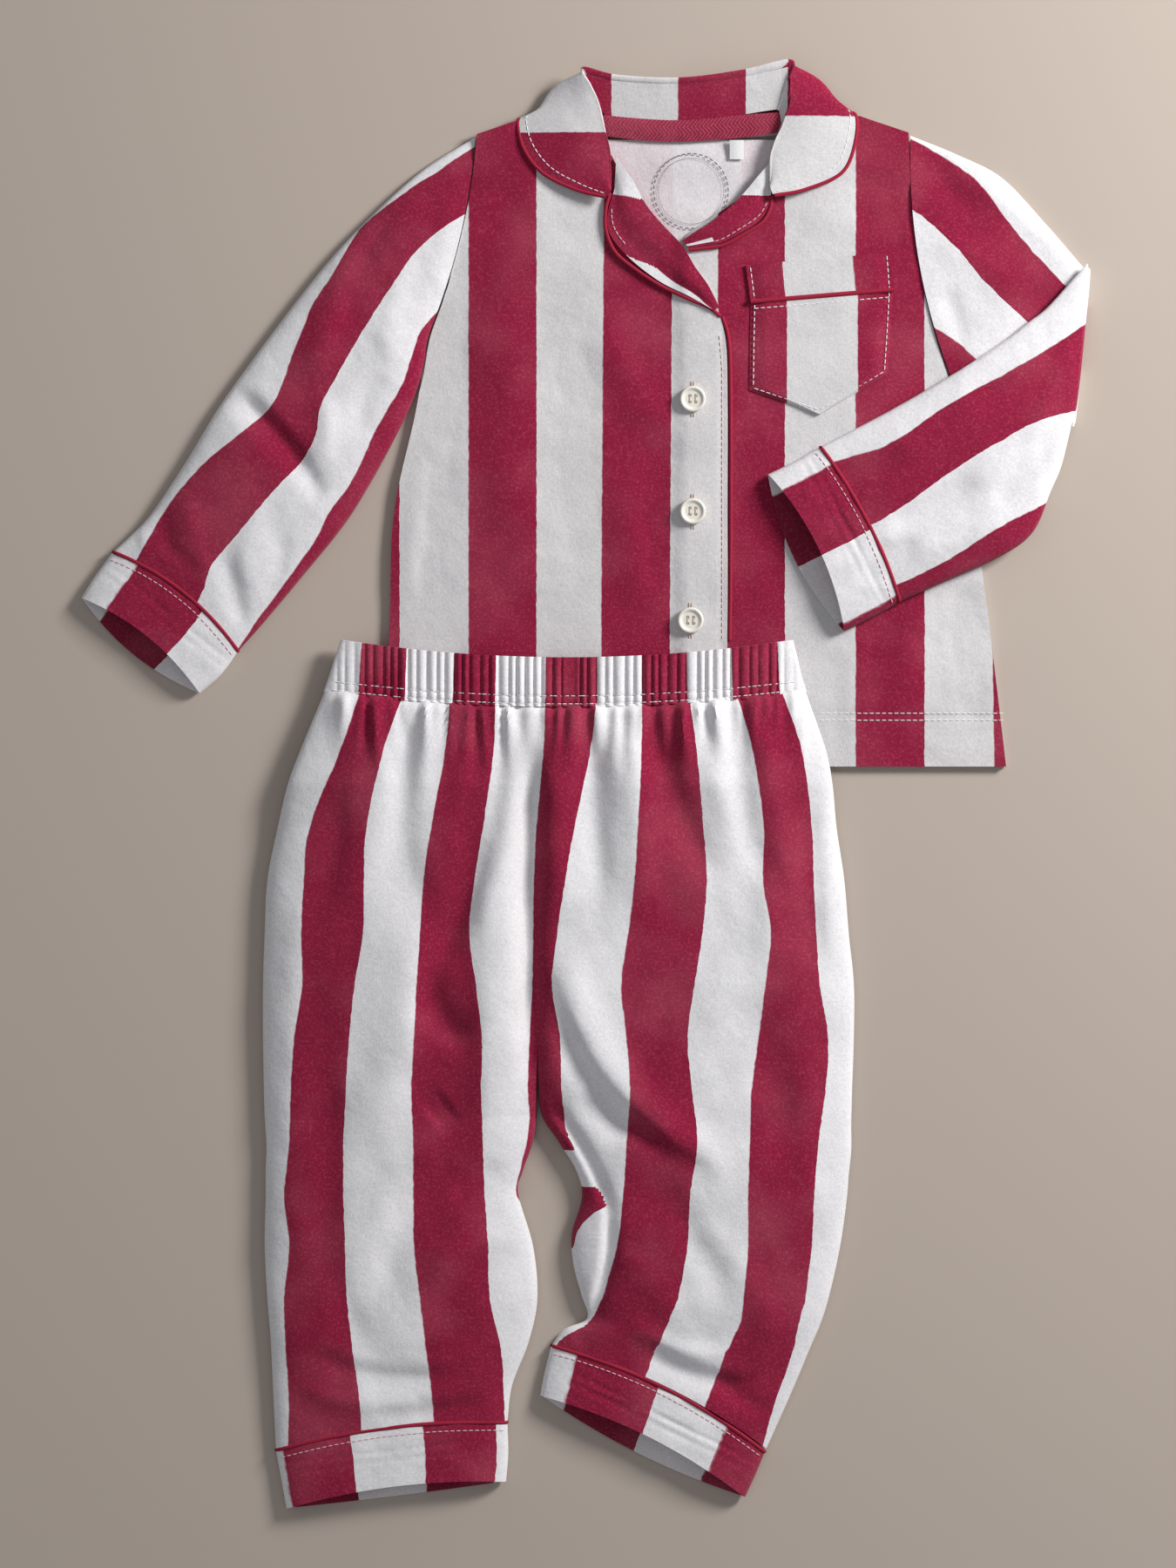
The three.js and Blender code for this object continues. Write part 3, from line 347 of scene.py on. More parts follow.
# Columns: y, then where the stripes change, from the middle outwards
RIGHT_LEG_STRIPES = curves_of([
    [44, 4.8, 24.8, 46, 67.2, 88.4],
    [16, 1.6, 24.4, 50, 75.2, 98],
    [-20, -5.6, 22.8, 53.2, 80.4, 102.8],
    [-44, -10, 21.2, 54.8, 80, 103.6],
    [-68, -13.6, 18.4, 52.8, 83.6, 104.8],
    [-92, -16, 15.2, 49.2, 81.2, 106.4],
    [-116, -12.4, 17.6, 46, 78, 110.4],
    [-140, -11.6, 19.2, 48, 74.8, 109.2],
    [-164, -9, 17.6, 50.4, 74, 106],
    [-188, -6, 16, 47.2, 73.2, 104],
    [-212, -6, 13, 46, 73.2, 102.8],
    [-236, -30, 6.5, 41.6, 71.2, 100],
    [-246, -34, 1, 37.4, 69.9, 97.3],
    [-252, -36, -10, 35, 67.2, 95.9],
    [-260, -38, -22, 31, 63, 94],
    [-284, -30, -10, 22, 54, 86],
    [-306, -38, -18, 14, 46, 80],
])
LEFT_SLEEVE_STRIPES = curves_of([
    [300, -40, 4, 40],
    [280, -70, -26, 10],
    [268, -88.4, -44, -6],
    [256, -103.2, -64.4, -26],
    [244, -111.2, -78.4, -40],
    [232, -118, -86.8, -54],
    [220, -126, -94.8, -66],
    [208, -130.8, -102.4, -76.4],
    [196, -135.6, -109.6, -80.8],
    [184, -139.6, -116.4, -84.8],
    [172, -146, -122.4, -91.6],
    [160, -160, -124, -98.4],
    [148, -174.8, -130.4, -103.6],
    [136, -186, -141.6, -110],
    [124, -194.8, -152, -118.8],
    [112, -201.6, -162, -124.8],
    [100, -208.4, -172, -133.2],
    [88, -214, -176, -142],
    [76, -219, -183, -151.2],
    [60, -226, -194, -162],
    [40, -236, -206, -174],
])
# Columns: x, then where the stripes change, from the outer edge of the arm inwards
UPPER_ARM_STRIPES = curves_of([
    [148, 296, 263.5, 214],
    [155.2, 292, 258, 211],
    [170.4, 283, 244, 202],
    [179.6, 275, 232, 193],
    [194.4, 256, 218, 184],
    [204, 244, 209, 176],
    [221.2, 226.4, 194, 164],
    [236, 212, 180, 150],
])
FOREARM_STRIPES = curves_of([
    [98, 144, 98, 76, 62],
    [111.2, 147.2, 109, 84, 70],
    [124, 151, 116, 86, 72],
    [138, 156, 123, 90, 72],
    [164, 173, 141, 102, 84],
    [190, 187, 157, 118, 96],
    [206.8, 197, 166, 127, 108],
    [229.2, 211.6, 172, 140, 116],
])
BODY_STRIPES = curves_of([
    [300, -86, -54.8, -23.2, 7.6, 39.6],
    [60, -86, -54.8, -23.2, 6, 38],
    [0, -86, -54.8, -23.2, 5.6, 38],
])
RIGHT_BODY_STRIPES = curves_of([
    [300, 59.6, 90.8, 122.8, 154.8, 187],
    [76, 59.4, 90.8, 122.8, 154.8, 186],
    [60, 59.4, 90.8, 122.8, 154.8, 185.6],
    [0, 59.2, 90.8, 122.8, 154.8, 186.6],
])
BAND_STRIPES = curves_of([
    [70, -103.2, -82.4, -60.8, -41.6, -19.2, 4.4, 24.4, 45.2, 65.2, 86.8],
    [36, -105.5, -83.5, -62, -42.2, -19.6, 4.6, 24.8, 45.8, 66.4, 88.4],
])


# Meshes
def grid_faces(cols, rows, wrap, flip, base):
    """Four-sided faces between neighbouring points of a grid; wrap joins its last column
    to its first."""
    j, i = np.mgrid[0:rows - 1, 0:cols - (0 if wrap else 1)]
    k = (i + 1) % cols
    a, b = base + j * cols + i, base + j * cols + k
    quads = np.stack([a, b, b + cols, a + cols], -1).reshape(-1, 4)
    return quads[:, ::-1] if flip else quads


def add_mesh(name, points, quads, uv, materials, inside=None, sharp=50):
    """A mesh object at the origin from points in millimetres and four-sided faces."""
    places = (points + np.array(CENTRE)) * MM
    p = places[quads]
    n = np.cross(p[:, 1] - p[:, 0], p[:, 2] - p[:, 0]) + np.cross(
        p[:, 2] - p[:, 0], p[:, 3] - p[:, 0])
    if float((n * p.mean(axis=1)).sum()) < 0:
        quads = quads[:, ::-1]
    mesh = bpy.data.meshes.new(name)
    mesh.vertices.add(len(places))
    mesh.vertices.foreach_set("co", places.astype(np.float32).ravel())
    mesh.loops.add(quads.size)
    mesh.loops.foreach_set("vertex_index", quads.astype(np.int32).ravel())
    mesh.polygons.add(len(quads))
    mesh.polygons.foreach_set("loop_start", np.arange(0, quads.size, 4, dtype=np.int32))
    mesh.update(calc_edges=True)
    layer = mesh.uv_layers.new(name="cloth")
    layer.data.foreach_set("uv", uv[quads.ravel()].astype(np.float32).ravel())
    for m in materials:
        mesh.materials.append(m)
    if inside is not None:
        mesh.polygons.foreach_set("material_index", inside.astype(np.int32))
    mesh.polygons.foreach_set("use_smooth", np.ones(len(quads), dtype=bool))
    mesh.validate()
    mesh.set_sharp_from_angle(angle=math.radians(sharp))
    o = bpy.data.objects.new(name, mesh)
    bpy.context.scene.collection.objects.link(o)
    return o


def wall(name, outer, inner, uv, materials, wrap=False):
    """A closed wall between an outer and an inner grid of points, with rims along its open
    edges. A second material covers the inner side."""
    rows, cols = outer.shape[:2]
    size = rows * cols
    parts = [
        grid_faces(cols, rows, wrap, False, 0),
        grid_faces(cols, rows, wrap, True, size),
    ]
    i = np.arange(cols if wrap else cols - 1)
    k = (i + 1) % cols
    end = (rows - 1) * cols
    parts.append(np.stack([k, i, i + size, k + size], -1))
    parts.append(np.stack([end + i, end + k, end + k + size, end + i + size], -1))
    if not wrap:
        j = np.arange(rows - 1) * cols
        parts.append(np.stack([j, j + cols, j + cols + size, j + size], -1))
        j = j + cols - 1
        parts.append(np.stack([j + cols, j, j + size, j + cols + size], -1))
    points = np.concatenate([outer.reshape(-1, 3), inner.reshape(-1, 3)])
    uvs = np.concatenate([uv.reshape(-1, 2)] * 2)
    quads = np.concatenate(parts)
    inside = np.zeros(len(quads), int)
    if len(materials) > 1:
        inside[len(parts[0]):len(parts[0]) + len(parts[1])] = 1
    return add_mesh(name, points, quads, uvs, materials, inside)


def normals_of(grid):
    """Unit normals of a grid of points, from its neighbours along both ways."""
    n = np.cross(np.gradient(grid, axis=1), np.gradient(grid, axis=0))
    return n / np.maximum(np.linalg.norm(n, axis=-1, keepdims=True), 1e-9)


def wall_thickness():
    """Thickness of the cloth in millimetres."""
    return settings().wall / MM


def sheet(name, grid, uv, materials, thick=None):
    """A wall of even thickness on both sides of a middle grid."""
    n = normals_of(grid)
    if n[..., 2].mean() < 0:
        n = -n
    half = n * (thick or wall_thickness()) / 2
    return wall(name, grid + half, grid - half, uv, materials)


# A stripe number in the middle of a red stripe
RED_NUMBER = 1.5


def cord(name, path, radius, material, closed=False, sides=10):
    """A round cord: a ring of points about each place of a path, square to the path."""
    if closed:
        along = np.roll(path, -1, axis=0) - np.roll(path, 1, axis=0)
    else:
        along = np.gradient(path, axis=0)
    along /= np.linalg.norm(along, axis=1, keepdims=True)
    tilt = np.where(np.abs(along[:, 2:3]) > 0.9, [[1.0, 0, 0]], [[0, 0, 1.0]])
    side = np.cross(along, tilt)
    side /= np.linalg.norm(side, axis=1, keepdims=True)
    up = np.cross(side, along)
    a = np.linspace(0, 2 * math.pi, sides, endpoint=False)
    ring = path[:, None] + radius * (
        side[:, None] * np.cos(a)[None, :, None] + up[:, None] * np.sin(a)[None, :, None])
    step = np.linalg.norm(np.diff(path, axis=0), axis=1)
    v = np.concatenate([[0], np.cumsum(step)]) / STRIPE
    uv = stack(a[None, :] * 0 + RED_NUMBER, v[:, None])
    if closed:
        ring = np.concatenate([ring, ring[:1]])
        uv = np.concatenate([uv, uv[:1]])
    else:
        tip = np.repeat(path[[0, -1]][:, None], sides, axis=1)
        ring = np.concatenate([tip[:1], ring, tip[1:]])
        uv = np.concatenate([uv[:1], uv, uv[-1:]])
    rows = len(ring)
    return add_mesh(name, ring.reshape(-1, 3), grid_faces(sides, rows, True, False, 0),
                    uv.reshape(-1, 2), [material])


def resample(path, step):
    """Places at even steps along a path of points."""
    length = np.concatenate([[0], np.cumsum(np.linalg.norm(np.diff(path, axis=0), axis=1))])
    count = max(2, int(round(length[-1] / step)))
    s = (np.arange(count) + 0.5) * length[-1] / count
    return stack(*[np.interp(s, length, path[:, k]) for k in range(3)])


# The step from one stitch to the next in stitch lengths, and the rings of one stitch: how
# far along it each lies and its share of the radius
STITCH_PITCH = 1.35
STITCH_RINGS = ((-0.5, 0.25), (-0.28, 1.0), (0.28, 1.0), (0.5, 0.25))


def stitches(name, paths, material, radius=0.24):
    """A row of stitches along each path: a four-sided thread, narrow at both ends, on the
    cloth, with a short space to the next."""
    length = settings().stitch_length / MM
    points, quads, base = [], [], 0
    for path in paths:
        centre = resample(path, length * STITCH_PITCH)
        if len(centre) < 2:
            continue
        along = np.gradient(centre, axis=0)
        along /= np.linalg.norm(along, axis=1, keepdims=True)
        side = np.cross(along, [0, 0, 1.0])
        side /= np.maximum(np.linalg.norm(side, axis=1, keepdims=True), 1e-6)
        up = np.cross(side, along)
        rings = []
        for s, r in STITCH_RINGS:
            for a in (0, 1.5708, 3.1416, 4.7124):
                rings.append(centre + along * s * length
                             + (side * math.cos(a) + up * math.sin(a)) * radius * r)
        block = np.stack(rings, 1)
        points.append(block.reshape(-1, 3))
        faces = grid_faces(4, 4, True, False, 0)
        caps = np.array([[0, 3, 2, 1], [12, 13, 14, 15]])
        faces = np.concatenate([faces, caps])
        quads.append((faces[None] + (np.arange(len(centre)) * 16)[:, None, None]
                      + base).reshape(-1, 4))
        base += len(centre) * 16
    points, quads = np.concatenate(points), np.concatenate(quads)
    return add_mesh(name, points, quads, np.full((len(points), 2), 0.5), [material])


# Materials
def node(tree, kind, inputs=None, **settings):
    """Adds a node, sets its properties and its input values or links."""
    n = tree.nodes.new(kind)
    for key, value in settings.items():
        setattr(n, key, value)
    for key, value in (inputs or {}).items():
        if isinstance(value, bpy.types.NodeSocket):
            tree.links.new(value, n.inputs[key])
        else:
            n.inputs[key].default_value = value
    return n


def maths(tree, operation, *values):
    """The result of a Math node."""
    return node(tree, "ShaderNodeMath", dict(enumerate(values)), operation=operation).outputs[0]


def mixed(tree, share, first, second):
    """Two colours mixed."""
    return node(tree, "ShaderNodeMix", {0: share, 6: first, 7: second},
                data_type="RGBA").outputs[2]


def noise(tree, place, scale, **inputs):
    """Soft noise over the places given."""
    return node(tree, "ShaderNodeTexNoise",
                {"Vector": place, "Scale": scale, **inputs}).outputs[0]


def ramp(tree, value, low, high, top=1.0, **how):
    """0 at low, top at high."""
    return node(tree, "ShaderNodeMapRange", {0: value, 1: low, 2: high, 4: top},
                **how).outputs[0]


def bump(tree, height, strength, distance, **inputs):
    """A surface direction tilted by a height."""
    return node(tree, "ShaderNodeBump", {"Height": height, "Strength": strength,
                                         "Distance": distance, **inputs}).outputs[0]


def twill_lines(tree, number, along):
    """Slanted lines of a woven tape, which turn back at even steps: the height of a zigzag
    across it, added to the place along it, is folded into thin lines."""
    zigzag = maths(tree, "PINGPONG", maths(tree, "MULTIPLY", number, 10.0), 1.0)
    slant = maths(tree, "MULTIPLY", zigzag, 1.6)
    line = maths(tree, "PINGPONG", maths(tree, "MULTIPLY_ADD", along, 17.0, slant), 0.5)
    return ramp(tree, line, 0.16, 0.36, 0.42)


# The look of the jersey: its shader, where the middle of the red lies in a pair of stripes,
# and the size of a rib across and along the cloth in millimetres
CLOTH_GLOSS = {"Roughness": 0.92, "Sheen Weight": 0.11, "Sheen Roughness": 0.6,
               "Specular IOR Level": 0.1}
RED_MIDDLE = 1.515
WALE, COURSE = 0.7, 2.6


def knit(name, white, red, plain=None, twill=False):
    """Cotton jersey: white and red stripes by the stripe number in the u of the cloth's UV, fine
    ribs along them, a soft nap, paler flecks in the red, pale pink patches over the red that are
    partly wear of the nap and partly painted sheen, and small unevenness of the dye. plain is the
    pale inner side, through which the stripes show faintly. twill adds the slanted lines of a
    woven tape."""
    m = bpy.data.materials.new(name)
    m.use_nodes = True
    t = m.node_tree
    t.nodes.clear()
    out = node(t, "ShaderNodeOutputMaterial")
    shader = node(t, "ShaderNodeBsdfPrincipled", CLOTH_GLOSS)
    t.links.new(shader.outputs[0], out.inputs[0])
    place = node(t, "ShaderNodeTexCoord").outputs["Object"]
    uv = node(t, "ShaderNodeUVMap", uv_map="cloth").outputs[0]
    number, along = node(t, "ShaderNodeSeparateXYZ", {0: uv}).outputs[:2]
    pink = settings().pink

    edge = maths(t, "MULTIPLY_ADD", noise(t, place, 260.0, Detail=2.0), 0.03, number)
    away = maths(t, "SUBTRACT", maths(t, "FLOORED_MODULO", edge, 2.0), RED_MIDDLE)
    is_red = ramp(t, maths(t, "ABSOLUTE", away), 0.512, 0.488, interpolation_type="SMOOTHSTEP")
    mottle = noise(t, place, 900.0, Detail=3.0, Roughness=0.7)
    if plain is None:
        # Pale pink patches at random over the red: partly wear of the nap, partly painted sheen in
        # place of the pinker lit red.
        wear_and_sheen = ramp(t, noise(t, place, 27.0, Detail=2.0), 0.46, 0.70, 0.24)
        specks_and_sheen = maths(t, "ADD", ramp(t, mottle, 0.50, 0.72, 0.30), wear_and_sheen)
        colour = mixed(t, maths(t, "MULTIPLY", specks_and_sheen, is_red),
                       mixed(t, is_red, white, red), pink)
    else:
        colour = mixed(t, maths(t, "MULTIPLY", is_red, 0.10), plain, pink)
    if twill:
        colour = mixed(t, twill_lines(t, number, along), colour, pink)
    dye = maths(t, "MULTIPLY_ADD", mottle, 0.55, 0.60)
    dye = maths(t, "MULTIPLY_ADD", noise(t, place, 38.0, Detail=3.0), 0.26, dye)
    tint = node(t, "ShaderNodeHueSaturation", {"Value": dye, "Color": colour})
    t.links.new(tint.outputs[0], shader.inputs["Base Color"])

    ribs = node(t, "ShaderNodeVectorMath", {0: uv, 1: (STRIPE / WALE, STRIPE / COURSE, 1.0)},
                operation="MULTIPLY").outputs[0]
    fuzz = maths(t, "MULTIPLY_ADD", noise(t, ribs, 1.0, Detail=2.0), 1.6, mottle)
    nap = bump(t, fuzz, 0.16, 0.0003)
    dents = bump(t, noise(t, place, 120.0, Detail=3.0), 0.35, 0.0012, Normal=nap)
    t.links.new(dents, shader.inputs["Normal"])
    return m


def plain_material(name, colour, roughness, specular=0.3, grain=0.0):
    """A plain material with a light grain of its own."""
    m = bpy.data.materials.new(name)
    m.use_nodes = True
    t = m.node_tree
    shader = t.nodes["Principled BSDF"]
    shader.inputs["Base Color"].default_value = colour
    shader.inputs["Roughness"].default_value = roughness
    shader.inputs["Specular IOR Level"].default_value = specular
    if grain:
        place = node(t, "ShaderNodeTexCoord").outputs["Object"]
        t.links.new(bump(t, noise(t, place, 900.0), grain, 0.0004), shader.inputs["Normal"])
    return m


TAPE_RED = (0.25, 0.008, 0.040, 1)
# Name, colour, roughness, then gloss and grain where they differ from the usual
PLAIN = {
    "piping": ("piping", (0.34, 0.016, 0.045, 1), 0.8, 0.2, 0.4),
    "thread": ("white thread", (0.86, 0.84, 0.85, 1), 0.7),
    "slit": ("buttonhole thread", (0.62, 0.47, 0.40, 1), 0.75),
    "pink": ("pink thread", (0.78, 0.52, 0.55, 1), 0.7),
    "tab": ("woven tab", (0.84, 0.83, 0.83, 1), 0.8, 0.2, 0.3),
    "print": ("stamp print", (0.20, 0.19, 0.22, 1), 0.9),
    "button": ("cream button", (0.84, 0.80, 0.72, 1), 0.28, 0.5),
    "floor": ("floor", (0.52, 0.445, 0.385, 1), 0.8, 0.1),
}
MATERIALS = {}


def material(key):
    """The shared materials, made when first asked for."""
    if key not in MATERIALS:
        white, shaded_white, red = settings().white, settings().shaded_white, settings().red
        knits = {
            "striped": ("striped jersey", white, red),
            # The fronts' jersey: its white is darkened as painted shade.
            "front": ("striped jersey of the fronts in painted shade", shaded_white, red),
            "inside": ("inside of the jersey", (0.80, 0.755, 0.765, 1),
                       (0.22, 0.010, 0.035, 1)),
            "pale": ("pale inside", white, red, (0.74, 0.70, 0.72, 1)),
            "tape": ("woven neck tape", TAPE_RED, TAPE_RED, None, True),
        }
        MATERIALS[key] = knit(*knits[key]) if key in knits else plain_material(*PLAIN[key])
    return MATERIALS[key]


def place_piece(o, *nodes, slot="striped_cotton"):
    """Hangs a piece on the root body and hides the parts of the model that it stands for."""
    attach(o, "root")
    if nodes:
        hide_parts(*nodes)
    return o


# Flat tubes. A row gives the left and right edge, the height of the middle plane, the depth
# above and below it, its turn over a fold and how far its upper and lower sides bow.
TUBE = ("lx", "ly", "rx", "ry", "mid", "up", "dn", "turn", "bowUp", "bowDn")
# How round the upper and the lower side are, the least space kept inside a tube, the gap
# between front and back at a seam, and the gap that keeps pieces from touching
DOME = 2.5
FLOOR_SIDE = 7
LEAST_HOLLOW = 0.5
SEAM = 0.35
TOUCH = 0.05

LEFT_SLEEVE = table(TUBE, [
    [-51.5, 297, -71.5, 210.5, 1.7, 2.0, 1.7, 0, 3.4, 3.4],
    [-78, 280, -74, 202, 1.7, 4.5, 1.7, 0, 1.4, 1.4],
    [-102, 258, -75, 194, 1.7, 6.0, 1.7, 0, 0, 0],
    [-118, 241, -77.5, 184, 1.7, 7.0, 1.7, 0, 0, 0],
    [-135, 220, -82, 172, 1.7, 7.0, 1.7, 0, 0, 0],
    [-153, 196, -91, 154, 1.7, 7.5, 1.7, 0, 0, 0],
    [-170, 172, -101, 136, 1.7, 8.0, 1.7, 0, 0, 0],
    [-184.5, 148, -112.5, 118, 1.7, 8.0, 1.7, 0, 0, 0],
    [-200.5, 124, -132, 94, 1.7, 7.0, 1.7, 0, 2, 0],
    [-211, 113, -148, 75, 1.7, 6.0, 1.7, 0, 4, 1],
    [-218, 106.5, -160.5, 61, 1.7, 5.5, 1.7, 0, 5.6, 2],
])
LEFT_CUFF = table(TUBE, [
    [-218, 106.5, -160.5, 61, 1.7, 5.5, 1.7, 0, 5.6, 2],
    [-226.5, 95, -168.5, 50, 1.8, 6.2, 1.8, 0, 5.4, -1.5],
    [-232.5, 85.5, -178, 41.5, 1.8, 6.5, 1.8, 0, 5.3, -5.3],
])
# The turn of the sleeve at the elbow: its radius, half the thickness of the flattened
# sleeve, how much its lower end is pinched, and its two ends
FOLD_RADIUS = 2.4
FOLD_HALF = 1.7
FOLD_PINCH = 0.25
FOLD_LINE = (230.8, 236.8, 225.4, 164)
UPPER_ARM_ROWS = [
    [148, 297.5, 167, 185.5, 1.7, 2.0, 1.7, 0, -6, -6],
    [170, 288.5, 178, 181.5, 1.7, 2.6, 1.7, 0, -2.6, -2.6],
    [190, 278, 192, 176.5, 1.7, 2.4, 1.7, 0, 0, 0],
    [210, 257, 208, 170.5, 1.7, 1.8, 1.7, 0, 0, 0],
]
FOREARM_ROWS = [
    [211, 219, 217, 146, 6.5, 1.7, 3.6, 180, 0, 0],
    [201, 211, 212, 134, 6.5, 1.7, 4.8, 180, 0, 0],
    [190, 202.5, 204, 115.5, 6.5, 1.7, 6.0, 180, 0, 0],
    [170, 189.5, 189.5, 104.5, 6.5, 1.7, 7.0, 180, 0, 0],
    [138, 171, 164, 93, 4.9, 1.7, 8.0, 180, 0, 0],
    [106.5, 154.5, 143, 83.5, 4.7, 1.7, 6.8, 180, -1, -3.3],
]
RIGHT_CUFF = table(TUBE, [
    [106.5, 154.5, 143, 83.5, 4.7, 1.7, 6.8, 180, -1, -3.3],
    [95, 148, 130.5, 76.5, 4.8, 1.8, 7.2, 180, 3, -5],
    [82.5, 142, 117.5, 70, 4.8, 1.8, 7.4, 180, 6, -5.7],
])
LEFT_LEG_CUFF = table(TUBE, [
    [-143.2, -305.6, -37, -292.8, 1.7, 6.2, 1.7, 0, 4.4, 4.4],
    [-140.6, -320, -36.6, -307, 1.8, 6.8, 1.8, 0, 4.6, 2],
    [-138.4, -332.4, -37.6, -320, 1.8, 7.0, 1.8, 0, 4.6, -0.5],
])
RIGHT_LEG_CUFF = table(TUBE, [
    [-16.8, -257.6, 81.2, -306.4, 1.7, 6.2, 1.7, 0, 6, 6],
    [-19.8, -269.5, 76.8, -317, 1.8, 6.8, 1.8, 0, 5.8, 1],
    [-22, -280.4, 72, -327.2, 1.8, 7.0, 1.8, 0, 5.6, -3.9],
])
WAISTBAND = table(TUBE, [
    [-121.2, 42.2, 100.2, 42.2, 6.4, 6.0, 1.8, 0, -6.8, -6.8],
    [-118.5, 50, 97.8, 50, 6.4, 6.0, 1.8, 0, -7.2, -7.2],
    [-116, 58, 96, 58, 6.4, 6.0, 1.8, 0, -7.6, -7.6],
    [-113.4, 66, 94, 66, 6.4, 5.8, 1.8, 0, -8, -8],
])


def folded_rows():
    """The rows of the right sleeve: the upper arm, a half turn about the fold line at the
    right edge, pinched at its lower end, and the forearm coming back over it."""
    lx, ly, rx, ry = FOLD_LINE
    w = np.array([rx - lx, ry - ly])
    w /= np.linalg.norm(w)
    out = np.array([-w[1], w[0]])
    bend = []
    for turn in (15, 50, 90, 130, 165):
        a = math.radians(turn)
        reach = FOLD_RADIUS * math.sin(a) - FOLD_RADIUS - FOLD_HALF
        pinched = FOLD_PINCH * FOLD_RADIUS * math.sin(a) - FOLD_RADIUS - FOLD_HALF
        bend.append([lx + out[0] * reach, ly + out[1] * reach,
                     rx + out[0] * pinched, ry + out[1] * pinched,
                     FOLD_HALF + FOLD_RADIUS * (1 - math.cos(a)),
                     FOLD_HALF, FOLD_HALF, turn, 0, 0])
    return table(TUBE, UPPER_ARM_ROWS + bend + FOREARM_ROWS)


def dome(t, power):
    """A rounded profile: 1 in the middle, 0 at both edges."""
    return np.clip(1 - np.abs(t) ** power, 0, 1) ** (1 / power)


def tube_points(columns, v, t, upper, inset, on=None):
    """Points on a flat tube: along it by v, across it by t from -1 to 1, on its upper or
    lower side. inset moves them into the wall. on gives the folds of the side that shows.
    A place is the middle of its row, moved along the row by the share t of its half width,
    ahead of it by the bow, and up by the domed depth, the last two turned by the fold."""
    row = row_at(columns, v)
    row = {k: np.broadcast_to(c, t.shape) for k, c in row.items()}
    w = stack(row["rx"] - row["lx"], row["ry"] - row["ly"])
    half = np.linalg.norm(w, axis=-1, keepdims=True) / 2
    w = w / (2 * half)
    half = half[..., 0]
    ahead = stack(-w[..., 1], w[..., 0])
    angle = np.radians(row["turn"])
    domed = np.where(row["turn"] > 90, not upper, upper)
    depth = row["up" if upper else "dn"] - inset
    rise = depth * np.where(domed, dome(t, DOME), dome(t, FLOOR_SIDE))
    rise = rise if upper else -rise
    bow = row["bowUp" if upper else "bowDn"] * (1 - t * t)
    flat = t * (half - inset)
    sin, cos = np.sin(angle), np.cos(angle)
    forward = cos * bow - sin * rise
    x = (row["lx"] + row["rx"]) / 2 + w[..., 0] * flat + ahead[..., 0] * forward
    y = (row["ly"] + row["ry"]) / 2 + w[..., 1] * flat + ahead[..., 1] * forward
    z = row["mid"] + cos * rise + sin * bow
    if on:
        room = np.maximum(0, row["up"] + row["dn"] - 2 - LEAST_HOLLOW)
        lift = on(x, y, row)
        level = (np.abs(sin) < 0.2) & domed
        z = z + np.where(level, np.maximum(-room, lift) * (1 - t ** 6), 0)
    return stack(x, y, z)


def across(count):
    """Places from -1 to 1, closer together near both ends."""
    q = np.linspace(-1, 1, count + 1)
    return 0.5 * q + 0.5 * np.sin(math.pi / 2 * q)


def tube_ring(columns, v, count, inset, on=None):
    """Closed rings of points round a flat tube for each v."""
    v = np.atleast_1d(v)[:, None]
    t = np.broadcast_to(across(count)[None], (len(v), count + 1))
    top = tube_points(columns, v, t, True, inset, on)
    low = tube_points(columns, v, t[:, ::-1][:, 1:-1], False, inset, on)
    return np.concatenate([top, low], axis=1)


def row_span(columns, first, last):
    """The range of v that leaves the given room in millimetres at both ends."""
    n = len(columns["lx"]) - 1

    def step(a, b):
        return min(math.hypot(*(columns[k][a] - columns[k][b] for k in side))
                   for side in (("lx", "ly"), ("rx", "ry")))
    return first / step(0, 1), n - last / step(n, n - 1)


# A piping in a seam: its radius, and how far it sits in from the edge of the cloth
CORD_RADIUS = 0.95
CORD_TUCK = 0.35


def tube_wall(name, columns, field, count, step, on=None, room=(0, 0)):
    """A flat tube as a closed wall, open at both ends. field gives the stripe number."""
    v = np.linspace(*row_span(columns, *room), step)
    outer = tube_ring(columns, v, count, 0, on)
    inner = tube_ring(columns, v, count, wall_thickness(), on)
    run = np.concatenate([[0], np.cumsum(np.linalg.norm(
        np.diff(outer.mean(axis=1), axis=0), axis=1))]) / STRIPE
    uv = stack(field(outer, v), run[:, None])
    return wall(name, outer, inner, uv, [material("striped"), material("inside")], wrap=True)


def by_place(axis, curves, white_first):
    """A stripe field that depends on the place over the floor."""
    def field(points, v):
        return stripe_field(axis, curves, points[..., 0], points[..., 1]) + white_first
    return field


def by_width(bounds, white_first):
    """A stripe field that depends on the place across a flat tube. bounds are shares of
    the width from its left edge."""
    def field(points, v):
        t = across(points.shape[1] // 2)
        share = (np.concatenate([t, t[::-1][1:-1]]) + 1) / 2
        places = np.concatenate([[-1.0], bounds, [2.0]])
        s = np.interp(share, places, np.arange(len(places)) - 1.0) + white_first
        return np.broadcast_to(s[None], (len(v), len(share)))
    return field


